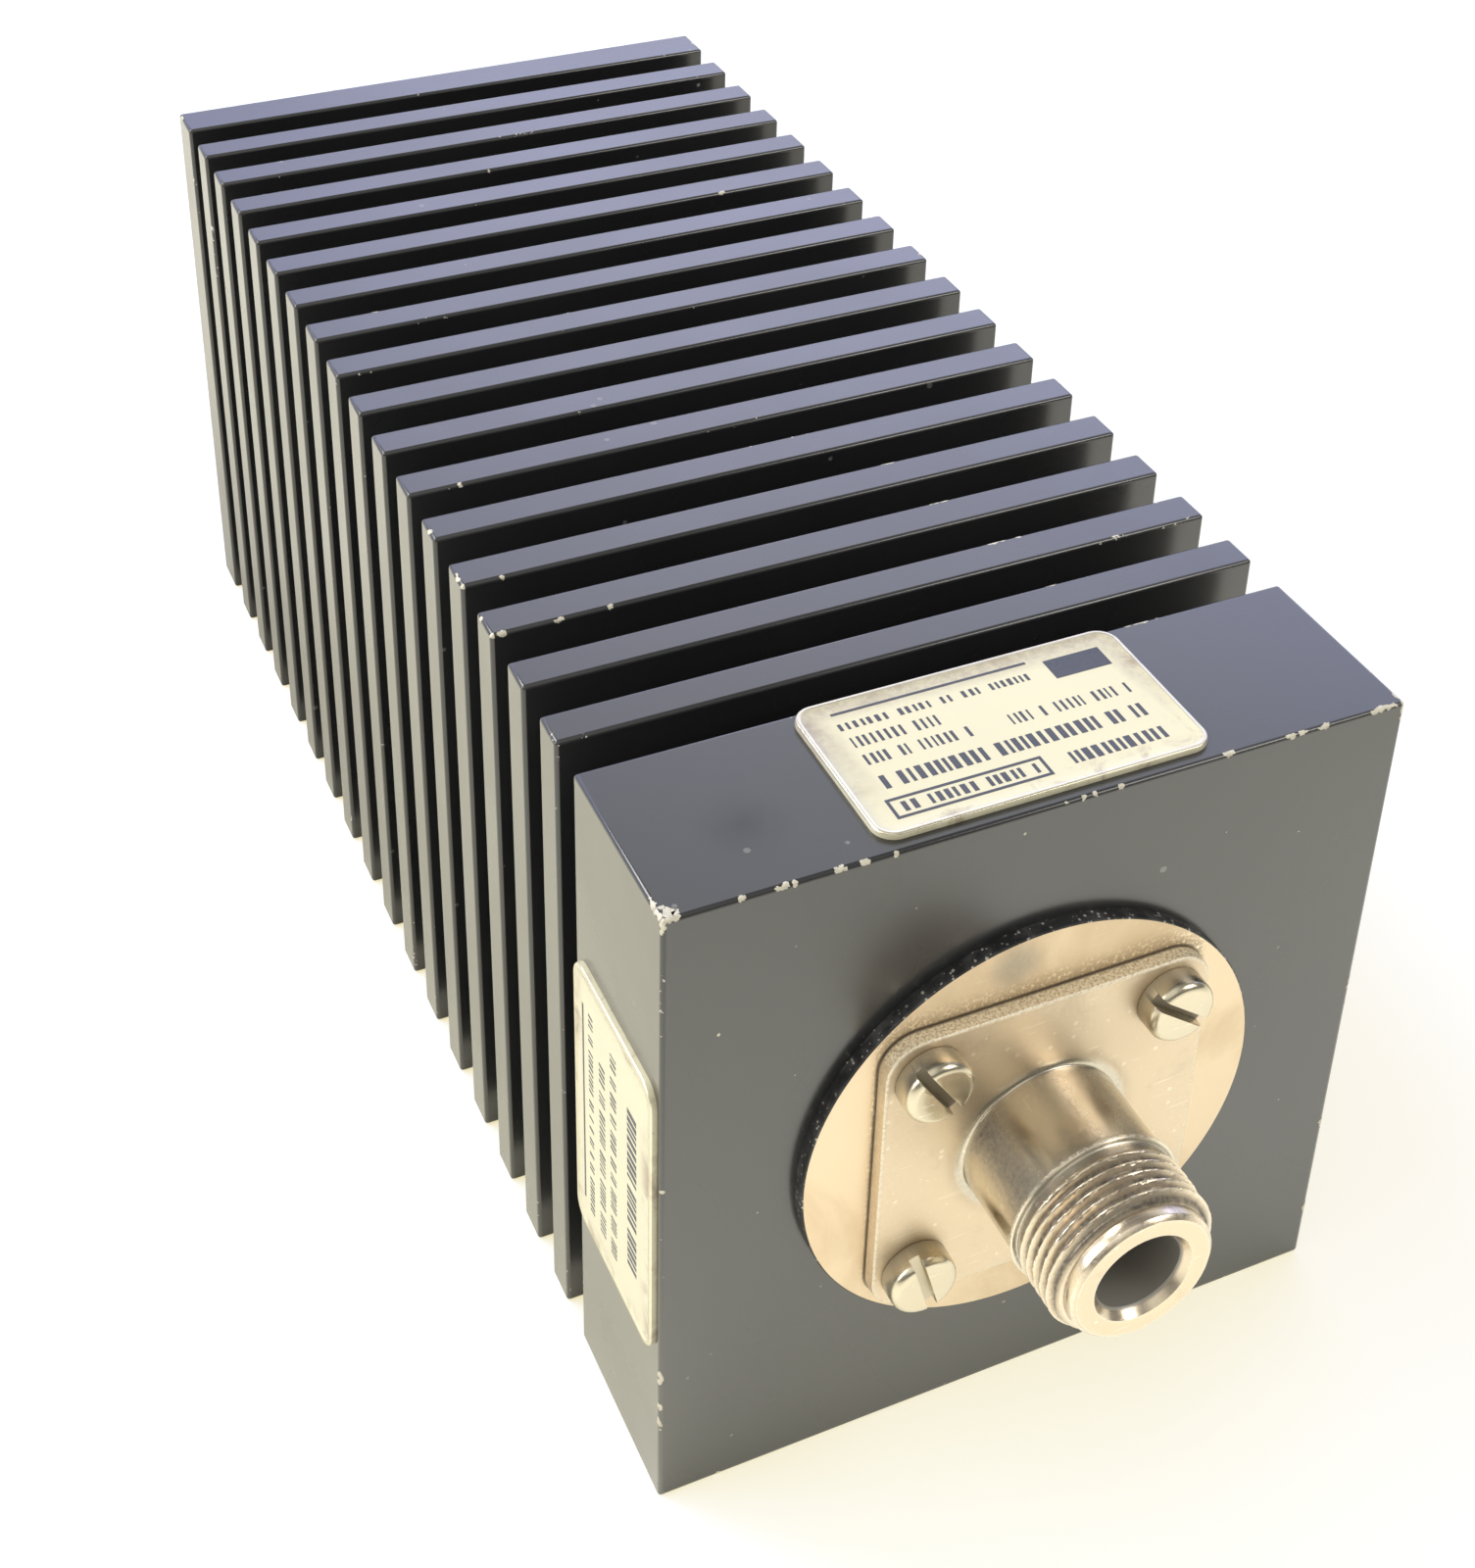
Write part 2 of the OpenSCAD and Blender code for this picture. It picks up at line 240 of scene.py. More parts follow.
def useGroup(tree, group, **values):
    node = tree.nodes.new("ShaderNodeGroup")
    node.node_tree = group
    for name, value in values.items():
        if isinstance(value, bpy.types.NodeSocket):
            tree.links.new(value, node.inputs[name])
        else:
            node.inputs[name].default_value = value
    return node.outputs


def newMaterial(name, values):
    material = bpy.data.materials.new(name)
    tree = emptyTree(material)
    shader = put(tree, "BsdfPrincipled", values)
    put(tree, "OutputMaterial", {"Surface": shader.outputs[0]})
    return material, tree, shader


def feed(tree, shader, bumps=(), **inputs):
    # links to the shader, and stacks bumps given as (height, millimetres, strength)
    for name, value in inputs.items():
        tree.links.new(value, shader.inputs[name])
    normal = None
    for height, distance, strength in bumps:
        node = put(tree, "Bump", {"Height": height, "Distance": distance * mm, "Strength": strength})
        if normal:
            tree.links.new(normal, node.inputs["Normal"])
        normal = node.outputs[0]
    if normal:
        tree.links.new(normal, shader.inputs["Normal"])


# shader groups that several finishes share

def makeFineGrain():
    tree, given, out = newGroup("fineGrain", {"Scale": 2000.0}, ["Height", "Cloud"])
    point = objectPoint(tree)
    tree.links.new(noiseOf(tree, point, given.outputs["Scale"], 4.0, 0.6), out.inputs["Height"])
    broad = times(tree, given.outputs["Scale"], 0.03)
    tree.links.new(noiseOf(tree, point, broad, 3.0, 0.5), out.inputs["Cloud"])
    return tree


def makeDustSpecks():
    # scattered round specks; Share is how many cells hold one
    tree, given, out = newGroup("dustSpecks", {"Scale": 300.0, "Share": 0.1, "Size": 0.2}, ["Mask"])
    values = {"Vector": objectPoint(tree), "Scale": given.outputs["Scale"], "Randomness": 1.0}
    cells = put(tree, "TexVoronoi", values)
    chance = put(tree, "SeparateColor", {"Color": cells.outputs["Color"]})
    chosen = math2(tree, "LESS_THAN", chance.outputs[0], given.outputs["Share"])
    size = times(tree, given.outputs["Size"], chance.outputs[1])
    inside = math2(tree, "LESS_THAN", cells.outputs["Distance"], size)
    tree.links.new(times(tree, chosen, inside), out.inputs["Mask"])
    return tree


def makeEdgeWear():
    # worn edges from the mesh's edgeWear values, broken up by noise
    tree, given, out = newGroup("edgeWear", {"Scale": 900.0, "Amount": 0.4, "Broad": 60.0}, ["Mask", "Edge"])
    point = objectPoint(tree)
    edge = meshValue(tree, "edgeWear")
    fine = noiseOf(tree, point, given.outputs["Scale"], 5.0, 0.65)
    broad = noiseOf(tree, point, given.outputs["Broad"], 2.0, 0.5)
    both = times(tree, fine, broad)
    limit = minus(tree, 1.0, given.outputs["Amount"])
    worn = math2(tree, "GREATER_THAN", times(tree, math2(tree, "POWER", edge, 3.0), both), limit)
    tree.links.new(worn, out.inputs["Mask"])
    tree.links.new(edge, out.inputs["Edge"])
    return tree


def makeHairlines():
    # fine hairlines from two stretched noises
    tree, given, out = newGroup("hairlines", {"Scale": 120.0, "Share": 0.3}, ["Mask"])
    point = objectPoint(tree)
    masks = []
    for turn, stretch in (((0.3, 0.5, 0.2), (1, 18, 18)), ((1.1, 0.2, 0.9), (16, 1, 16))):
        mapped = put(tree, "Mapping", {"Vector": point, "Rotation": turn, "Scale": stretch}).outputs[0]
        line = noiseOf(tree, mapped, given.outputs["Scale"], 2.0, 0.5)
        masks.append(ramp(tree, line, 0.68, 0.74))
    lines = math2(tree, "MAXIMUM", *masks)
    patch = noiseOf(tree, point, 90.0, 2.0)
    limit = minus(tree, 1.0, given.outputs["Share"])
    chosen = math2(tree, "GREATER_THAN", patch, limit)
    tree.links.new(times(tree, lines, chosen), out.inputs["Mask"])
    return tree


def makeTarnish():
    # soft stained patches
    tree, given, out = newGroup("tarnish", {"Scale": 120.0, "Cover": 0.5}, ["Mask"])
    values = {"Vector": objectPoint(tree), "Scale": given.outputs["Scale"]}
    values.update({"Detail": 5.0, "Roughness": 0.6, "Distortion": 0.6})
    warp = put(tree, "TexNoise", values).outputs["Fac"]
    low = minus(tree, 0.85, times(tree, given.outputs["Cover"], 0.5))
    high = plus(tree, low, 0.2)
    tree.links.new(ramp(tree, warp, low, high), out.inputs["Mask"])
    return tree


fineGrain = makeFineGrain()
dustSpecks = makeDustSpecks()
edgeWear = makeEdgeWear()
hairlines = makeHairlines()
tarnish = makeTarnish()
print("shader groups ready")


# finishes

def blackPaintFinish():
    material, tree, shader = newMaterial("satinBlackPaint", {
        "IOR": 1.5, "Metallic": 0.0, "Coat Weight": 1.0, "Coat IOR": 1.5, "Coat Roughness": 0.22})
    grain = useGroup(tree, fineGrain, Scale=1500.0)
    dust = useGroup(tree, dustSpecks, Scale=260.0, Share=0.05, Size=0.1)
    lint = useGroup(tree, dustSpecks, Scale=900.0, Share=0.012, Size=0.32)
    wear = useGroup(tree, edgeWear, Scale=1100.0, Amount=0.575, Broad=70.0)
    paint = blend(tree, grain["Cloud"], (0.014, 0.0145, 0.016, 1), (0.022, 0.0225, 0.024, 1))
    dusty = math2(tree, "MAXIMUM", dust["Mask"], times(tree, lint["Mask"], 0.5))
    colour = tint(tree, paint, dusty, 0.45, (0.5, 0.49, 0.45, 1))
    colour = blend(tree, wear["Mask"], colour, (0.7, 0.67, 0.58, 1))
    rough = ramp(tree, grain["Cloud"], 0.3, 0.7, 0.24, 0.34)
    rough = plus(tree, rough, times(tree, math2(tree, "MAXIMUM", dusty, wear["Mask"]), 0.3))
    off = distanceTo(tree, radiatorShape["smudgeAndShadeAt"])
    smudgeAndShade = ramp(tree, off, 0.0, radiatorShape["smudgeAndShadeSize"], 0.6, 0.0)
    smudgeAndShade = times(tree, smudgeAndShade, noiseOf(tree, objectPoint(tree), 420.0, 4.0))
    coat = minus(tree, 1.0, math2(tree, "MAXIMUM", wear["Mask"], smudgeAndShade))
    feed(tree, shader, [(grain["Height"], 0.02, 0.18), (wear["Mask"], -0.05, 0.6)],
         **{"Base Color": colour, "Roughness": rough, "Coat Weight": coat})
    return material


def bareMetalFinish():
    material, tree, shader = newMaterial("bareMetal", {"Metallic": 0.35})
    grain = useGroup(tree, fineGrain, Scale=2600.0)
    stain = useGroup(tree, tarnish, Scale=700.0, Cover=0.55)
    colour = blend(tree, grain["Height"], (0.42, 0.39, 0.3, 1), (0.92, 0.88, 0.74, 1))
    colour = blend(tree, stain["Mask"], colour, (0.4, 0.37, 0.3, 1))
    rough = ramp(tree, grain["Height"], 0.3, 0.7, 0.4, 0.65)
    feed(tree, shader, [(grain["Height"], 0.15, 0.7)], **{"Base Color": colour, "Roughness": rough})
    return material


def axisRadius(tree):
    # distance from the socket's axis, and the place along it
    parts = put(tree, "SeparateXYZ", {"Vector": objectPoint(tree)}).outputs
    fromAxis = minus(tree, parts["Z"], axisZ)
    flat = put(tree, "CombineXYZ", {"X": parts["X"], "Y": fromAxis, "Z": 0.0}).outputs[0]
    return vectorLength(tree, flat), parts["Y"]


def discFinish():
    material, tree, shader = newMaterial("platedDisc", {"IOR": 1.5})
    radius = axisRadius(tree)[0]
    grain = useGroup(tree, fineGrain, Scale=1800.0)
    stain = useGroup(tree, tarnish, Scale=55.0, Cover=0.75)
    lines = useGroup(tree, hairlines, Scale=160.0, Share=0.45)
    specks = useGroup(tree, dustSpecks, Scale=2900.0, Share=0.5, Size=0.45)
    turns = math2(tree, "SINE", times(tree, radius, discShape["turning"]))
    gold = blend(tree, grain["Cloud"], (0.74, 0.6, 0.43, 1), (0.83, 0.69, 0.51, 1))
    gold = tint(tree, gold, stain["Mask"], 0.5, (0.62, 0.48, 0.31, 1))
    gold = tint(tree, gold, lines["Mask"], 0.3, (0.93, 0.82, 0.66, 1))
    parts = put(tree, "SeparateXYZ", {"Vector": objectPoint(tree)}).outputs
    height = minus(tree, parts["Z"], axisZ)
    width = math2(tree, "ABSOLUTE", parts["X"])
    inner = discShape["plateHalf"] - socketShape["plateCorner"]
    arms = [math2(tree, "MAXIMUM", minus(tree, arm, inner), 0.0)
            for arm in (width, math2(tree, "ABSOLUTE", height))]
    bend = put(tree, "CombineXYZ", {"X": arms[0], "Y": arms[1], "Z": 0.0}).outputs[0]
    # distance from the plate's outline
    outside = minus(tree, vectorLength(tree, bend), socketShape["plateCorner"])
    reach = discShape["sideResidue"], discShape["residue"]
    above = ramp(tree, minus(tree, height, width), *discShape["residueTurn"], *reach)
    beside = ramp(tree, math2(tree, "DIVIDE", outside, above), 0.0, 1.0, 1.0, 0.0)
    beside = times(tree, beside, ramp(tree, height, *discShape["residueRise"], 0.35, 1.0))
    sand = noiseOf(tree, objectPoint(tree), 2700.0, 3.0, 0.7)
    crust = times(tree, beside, ramp(tree, sand, 0.62, 0.42))
    gold = tint(tree, gold, crust, 0.65, (0.52, 0.39, 0.22, 1))
    gold = blend(tree, times(tree, beside, ramp(tree, sand, 0.52, 0.64)), gold, (1.0, 0.9, 0.7, 1))
    joint = ramp(tree, outside, *discShape["joint"], 0.65, 0.0)
    gold = blend(tree, joint, gold, (0.1, 0.07, 0.045, 1))
    # painted dark reflection: a grey patch near the disc's top
    off = distanceTo(tree, discShape["smudgeAndShadeAt"])
    smudgeAndShade = ramp(tree, off, 0.2 * discShape["smudgeAndShadeSize"], discShape["smudgeAndShadeSize"], 0.6, 0.0)
    smudgeAndShade = times(tree, smudgeAndShade, ramp(tree, sand, 0.3, 0.6, 0.75, 1.0))
    gold = blend(tree, smudgeAndShade, gold, (0.4, 0.37, 0.32, 1))
    rim = math2(tree, "GREATER_THAN", radius, discShape["rimPaint"])
    bits = times(tree, specks["Mask"], 0.8)
    smoky = noiseOf(tree, objectPoint(tree), 420.0, 5.0, 0.65)
    black = blend(tree, ramp(tree, smoky, 0.42, 0.72), (0.01, 0.01, 0.012, 1), (0.07, 0.07, 0.072, 1))
    bits = times(tree, bits, ramp(tree, smoky, 0.38, 0.6))
    black = blend(tree, bits, black, (0.6, 0.58, 0.52, 1))
    colour = blend(tree, rim, gold, black)
    bare = minus(tree, 1.0, math2(tree, "MAXIMUM", rim, times(tree, crust, 0.6)))
    rough = ramp(tree, grain["Cloud"], 0.3, 0.7, 0.4, 0.5)
    rough = plus(tree, rough, times(tree, stain["Mask"], 0.1))
    feed(tree, shader, [(turns, 0.004, 0.25), (grain["Height"], 0.02, 0.15), (crust, 0.06, 0.6)],
         **{"Base Color": colour, "Metallic": bare, "Roughness": rough})
    return material


def socketFinish():
    material, tree, shader = newMaterial("platedSocket", {"IOR": 1.5})
    radius, along = axisRadius(tree)
    grain = useGroup(tree, fineGrain, Scale=2200.0)
    stain = useGroup(tree, tarnish, Scale=150.0, Cover=0.6)
    smudgeAndShade = useGroup(tree, tarnish, Scale=420.0, Cover=0.5)
    lines = useGroup(tree, hairlines, Scale=210.0, Share=0.62)
    specks = useGroup(tree, dustSpecks, Scale=900.0, Share=0.25, Size=0.25)
    wear = meshValue(tree, "edgeWear")
    grimeAndShade = meshValue(tree, "grimeAndShade")
    cast = meshValue(tree, "cast")
    flat = ramp(tree, radius, *socketShape["plateFade"])  # 1 on the plate, 0 on the turned parts
    metal = blend(tree, grain["Cloud"], (0.68, 0.56, 0.41, 1), (0.78, 0.66, 0.5, 1))
    barrel = times(tree, ramp(tree, along, *socketShape["barrelFade"]), minus(tree, 1.0, flat))
    metal = blend(tree, barrel, metal, (0.7, 0.64, 0.53, 1))
    metal = tint(tree, metal, stain["Mask"], 0.45, (0.5, 0.42, 0.31, 1))
    metal = tint(tree, metal, smudgeAndShade["Mask"], 0.35, (0.56, 0.45, 0.32, 1))
    # lighter where edges and crests are rubbed, and along the painted highlight streak on the barrel's top
    rubbedAndHighlight = times(tree, wear, ramp(tree, grain["Height"], 0.36, 0.56, 0.25, 1.0))
    metal = tint(tree, metal, rubbedAndHighlight, 0.9, (0.98, 0.9, 0.74, 1))
    bright = math2(tree, "MAXIMUM", lines["Mask"], specks["Mask"])
    metal = tint(tree, metal, bright, 0.45, (0.95, 0.88, 0.76, 1))
    sand = noiseOf(tree, objectPoint(tree), 3800.0, 3.0, 0.7)
    sandy = blend(tree, ramp(tree, sand, 0.36, 0.6), (0.55, 0.42, 0.25, 1), (1.0, 0.92, 0.72, 1))
    metal = tint(tree, metal, cast, 0.85, sandy)
    # darkening from the mesh: painted dark reflection bands on the barrel, painted shade in the bore and
    # round the foot ring, light tarnish, and darker in the groove and thread roots
    grimeAndShadeMask = times(tree, grimeAndShade, ramp(tree, grain["Height"], 0.25, 0.7, 1.0, 0.65))
    colour = blend(tree, grimeAndShadeMask, metal, (0.06, 0.057, 0.052, 1))
    # the bore is greyed and darkened as painted shade
    inside = ramp(tree, radius, *socketShape["boreFade"], 1.0, 0.0)  # 1 in the bore
    colour = blend(tree, inside, colour, (0.34, 0.33, 0.3, 1))
    grimeAndShadeMask = math2(tree, "MAXIMUM", grimeAndShadeMask, inside)
    shine = minus(tree, 1.0, times(tree, grimeAndShadeMask, 0.7))
    shine = minus(tree, shine, times(tree, rubbedAndHighlight, 0.5))
    shine = minus(tree, shine, times(tree, cast, 0.5), clamp=True)
    rough = ramp(tree, grain["Cloud"], 0.3, 0.7, 0.16, 0.26)
    rough = plus(tree, rough, times(tree, flat, 0.26))
    rough = plus(tree, rough, times(tree, grimeAndShadeMask, 0.25))
    rough = plus(tree, rough, times(tree, stain["Mask"], 0.1))
    gritty = times(tree, sand, cast)
    dents = noiseOf(tree, objectPoint(tree), 520.0, 2.0)
    feed(tree, shader, [(grain["Height"], 0.02, 0.2), (bright, -0.01, 0.4), (gritty, 0.12, 0.7),
                        (dents, 0.05, 0.35)],
         **{"Base Color": colour, "Metallic": shine, "Roughness": rough})
    return material


def screwFinish():
    material, tree, shader = newMaterial("nickelScrew", {"IOR": 1.5})
    grain = useGroup(tree, fineGrain, Scale=2400.0)
    stain = useGroup(tree, tarnish, Scale=300.0, Cover=0.5)
    lines = useGroup(tree, hairlines, Scale=320.0, Share=0.5)
    grimeAndShade = meshValue(tree, "grimeAndShade")
    metal = blend(tree, grain["Cloud"], (0.63, 0.565, 0.43, 1), (0.73, 0.66, 0.515, 1))
    metal = tint(tree, metal, stain["Mask"], 0.4, (0.66, 0.58, 0.43, 1))
    metal = tint(tree, metal, lines["Mask"], 0.5, (1.0, 0.97, 0.9, 1))
    colour = blend(tree, grimeAndShade, metal, (0.12, 0.09, 0.06, 1))
    shine = minus(tree, 1.0, times(tree, grimeAndShade, 0.7))
    rough = ramp(tree, grain["Cloud"], 0.3, 0.7, 0.2, 0.32)
    rough = plus(tree, rough, times(tree, grimeAndShade, 0.4))
    feed(tree, shader, [(grain["Height"], 0.02, 0.2), (lines["Mask"], -0.01, 0.5)],
         **{"Base Color": colour, "Metallic": shine, "Roughness": rough})
    return material


def plateFinish():
    material, tree, shader = newMaterial("creamPlate", {"IOR": 1.5, "Coat Roughness": 0.25})
    grain = useGroup(tree, fineGrain, Scale=1500.0)
    stain = useGroup(tree, tarnish, Scale=260.0, Cover=0.7)
    pits = useGroup(tree, tarnish, Scale=1300.0, Cover=0.55)
    edge = meshValue(tree, "edgeWear")
    cream = blend(tree, grain["Cloud"], (0.7, 0.66, 0.47, 1), (0.8, 0.76, 0.55, 1))
    spotted = math2(tree, "MAXIMUM", stain["Mask"], times(tree, pits["Mask"], 0.7))
    rubbedAndHighlight = times(tree, ramp(tree, edge, 0.05, 0.55), spotted)
    colour = tint(tree, cream, rubbedAndHighlight, 0.8, (0.34, 0.26, 0.18, 1))
    # painted shadow along the plate's back edge, patchy
    shadow = meshValue(tree, "backShadow")
    patchy = times(tree, shadow, ramp(tree, grain["Height"], 0.3, 0.7, 0.55, 1.0))
    colour = blend(tree, patchy, colour, (0.36, 0.31, 0.25, 1))
    rimLine = ramp(tree, edge, 0.72, 0.86)
    colour = tint(tree, colour, rimLine, 0.6, (0.8, 0.75, 0.62, 1))
    metal = times(tree, rimLine, 0.8)
    rough = ramp(tree, grain["Cloud"], 0.3, 0.7, 0.34, 0.46)
    rough = minus(tree, rough, times(tree, rimLine, 0.12))
    feed(tree, shader, [(grain["Height"], 0.02, 0.25), (rubbedAndHighlight, -0.02, 0.5)],
         **{"Base Color": colour, "Metallic": metal, "Roughness": rough})
    return material


def inkFinish():
    material, tree, shader = newMaterial("slateInk", {"IOR": 1.5})
    grain = useGroup(tree, fineGrain, Scale=2600.0)
    rubbedAndHighlight = useGroup(tree, tarnish, Scale=900.0, Cover=0.3)
    colour = blend(tree, grain["Cloud"], (0.05, 0.055, 0.075, 1), (0.085, 0.09, 0.115, 1))
    colour = tint(tree, colour, rubbedAndHighlight["Mask"], 0.55, (0.55, 0.5, 0.4, 1))
    rough = ramp(tree, grain["Height"], 0.3, 0.7, 0.35, 0.55)
    feed(tree, shader, [(grain["Height"], 0.01, 0.3)], **{"Base Color": colour, "Roughness": rough})
    return material


def turnedMetalFinish(name, dark, light, worn):
    # inner turned pieces: tool marks along the axis and light stains
    material, tree, shader = newMaterial(name, {"Metallic": 1.0})
    radius, along = axisRadius(tree)
    grain = useGroup(tree, fineGrain, Scale=1600.0)
    stain = useGroup(tree, tarnish, Scale=180.0, Cover=0.5)
    marks = math2(tree, "SINE", times(tree, plus(tree, along, radius), 24000.0))
    colour = blend(tree, grain["Cloud"], dark, light)
    colour = tint(tree, colour, stain["Mask"], 0.5, worn)
    rough = ramp(tree, grain["Height"], 0.3, 0.7, 0.24, 0.42)
    feed(tree, shader, [(marks, 0.006, 0.4), (grain["Height"], 0.02, 0.2)],
         **{"Base Color": colour, "Roughness": rough})
    return material


def mouldedFinish(name, dark, light, roughLow, roughHigh):
    # rubber, insulator and ceramic: a fine matt grain
    material, tree, shader = newMaterial(name, {"IOR": 1.45})
    grain = useGroup(tree, fineGrain, Scale=2800.0)
    dust = useGroup(tree, dustSpecks, Scale=800.0, Share=0.06, Size=0.25)
    colour = blend(tree, grain["Cloud"], dark, light)
    colour = tint(tree, colour, dust["Mask"], 0.3, (0.5, 0.47, 0.42, 1))
    rough = ramp(tree, grain["Height"], 0.3, 0.7, roughLow, roughHigh)
    feed(tree, shader, [(grain["Height"], 0.03, 0.3)], **{"Base Color": colour, "Roughness": rough})
    return material


# radiator: front block, fins and core

radiatorShape = {
    "blockDepth": 19.05 * mm,
    "finCount": 17,
    "finThick": 3.95 * mm,
    "rearThick": 5.55 * mm,
    "coreRadius": 21.0 * mm,
    "coreSides": 128,
    "hair": 0.015 * mm,
    "edgeRound": 0.36 * mm,
    "roundSteps": 3,
    "holdBand": 0.05 * mm,  # narrow loop that keeps the flats' shading flat
    "wearBand": 0.9 * mm,
    "flatArea": 50 * mm * mm,  # a larger face is one of the slab's flats
    "smudgeAndShadeAt": (-24.5 * mm, -61.6 * mm, 69.85 * mm),
    "smudgeAndShadeSize": 5.0 * mm,
    "seatRadius": 20.52 * mm,
    "seatDepth": 15.0 * mm,
    "chamberRadius": 16.0 * mm,
    "chamberEnd": 130.75 * mm,
    "stemRadius": 7.02 * mm,
    "stemEnd": 145.0 * mm,
}


def slabSpans():
    shape = radiatorShape
    depth = radiatorHigh.y - radiatorLow.y
    thin = shape["finCount"] - 1
    room = depth - shape["blockDepth"] - thin * shape["finThick"] - shape["rearThick"]
    gap = room / shape["finCount"]
    spans = [(blockFace, blockFace + shape["blockDepth"])]
    for i in range(thin):
        start = spans[-1][1] + gap
        spans.append((start, start + shape["finThick"]))
    spans.append((radiatorHigh.y - shape["rearThick"], radiatorHigh.y))
    return spans


def slabCorner(span, direction):
    # the slab's corner that lies furthest along a direction, its low side where the direction is flat;
    # right, back and bottom stay a hair inside so that chips on them keep to the box
    hair = radiatorShape["hair"]
    low = Vector((radiatorLow.x, span[0], radiatorLow.z + hair))
    high = Vector((radiatorHigh.x - hair, min(span[1], radiatorHigh.y - hair), radiatorHigh.z))
    return Vector([h if d > 0 else l for l, h, d in zip(low, high, direction)])


def addSlab(bm, wearLayer, start, end):
    shape = radiatorShape
    low, high = slabCorner((start, end), -Vector((1, 1, 1))), slabCorner((start, end), Vector((1, 1, 1)))
    size, centre = high - low, (low + high) / 2
    cube = bmesh.ops.create_cube(bm, matrix=Matrix.LocRotScale(centre, None, size))
    edges = list({e for v in cube["verts"] for e in v.link_edges})
    made = bmesh.ops.bevel(bm, geom=edges, offset=shape["edgeRound"], offset_type="OFFSET", affect="EDGES",
                           segments=shape["roundSteps"], profile=0.5)
    verts = {v for f in made["faces"] for v in f.verts}
    flats = [f for f in {f for v in verts for f in v.link_faces} if f.calc_area() > shape["flatArea"]]
    for v in verts:
        v[wearLayer] = 1.0
    for band, worn in ((shape["holdBand"], 0.9), (shape["wearBand"], 0.0)):
        bmesh.ops.inset_individual(bm, faces=flats, thickness=band, use_even_offset=True)
        for f in flats:
            for v in f.verts:
                v[wearLayer] = worn


def makeRadiator():
    shape = radiatorShape
    bm = bmesh.new()
    wearLayer = bm.verts.layers.float.new("edgeWear")
    spans = slabSpans()
    for start, end in spans:
        addSlab(bm, wearLayer, start, end)
    piece = toObject("radiatorBody", bm)
    coreStart, coreEnd = spans[0][1] - mm, spans[-1][0] + mm
    core = bmesh.new()
    turnedSolid(core, [(shape["coreRadius"], coreStart), (shape["coreRadius"], coreEnd)], shape["coreSides"])
    carve(piece, toObject("core", core), "UNION")
    seat = blockFace + shape["seatDepth"]
    chamber = blockFace + shape["chamberEnd"]
    bore = bmesh.new()
    turnedSolid(bore, [(shape["seatRadius"], blockFace - mm), (shape["seatRadius"], seat),
                       (shape["chamberRadius"], seat), (shape["chamberRadius"], chamber),
                       (shape["stemRadius"], chamber), (shape["stemRadius"], blockFace + shape["stemEnd"])],
                shape["coreSides"])
    carve(piece, toObject("bore", bore), "DIFFERENCE")
    return place(piece, blackPaintFinish(), "black_paint", "radiator")


# paint chips where bare metal shows, measured from the block's lower left front corner

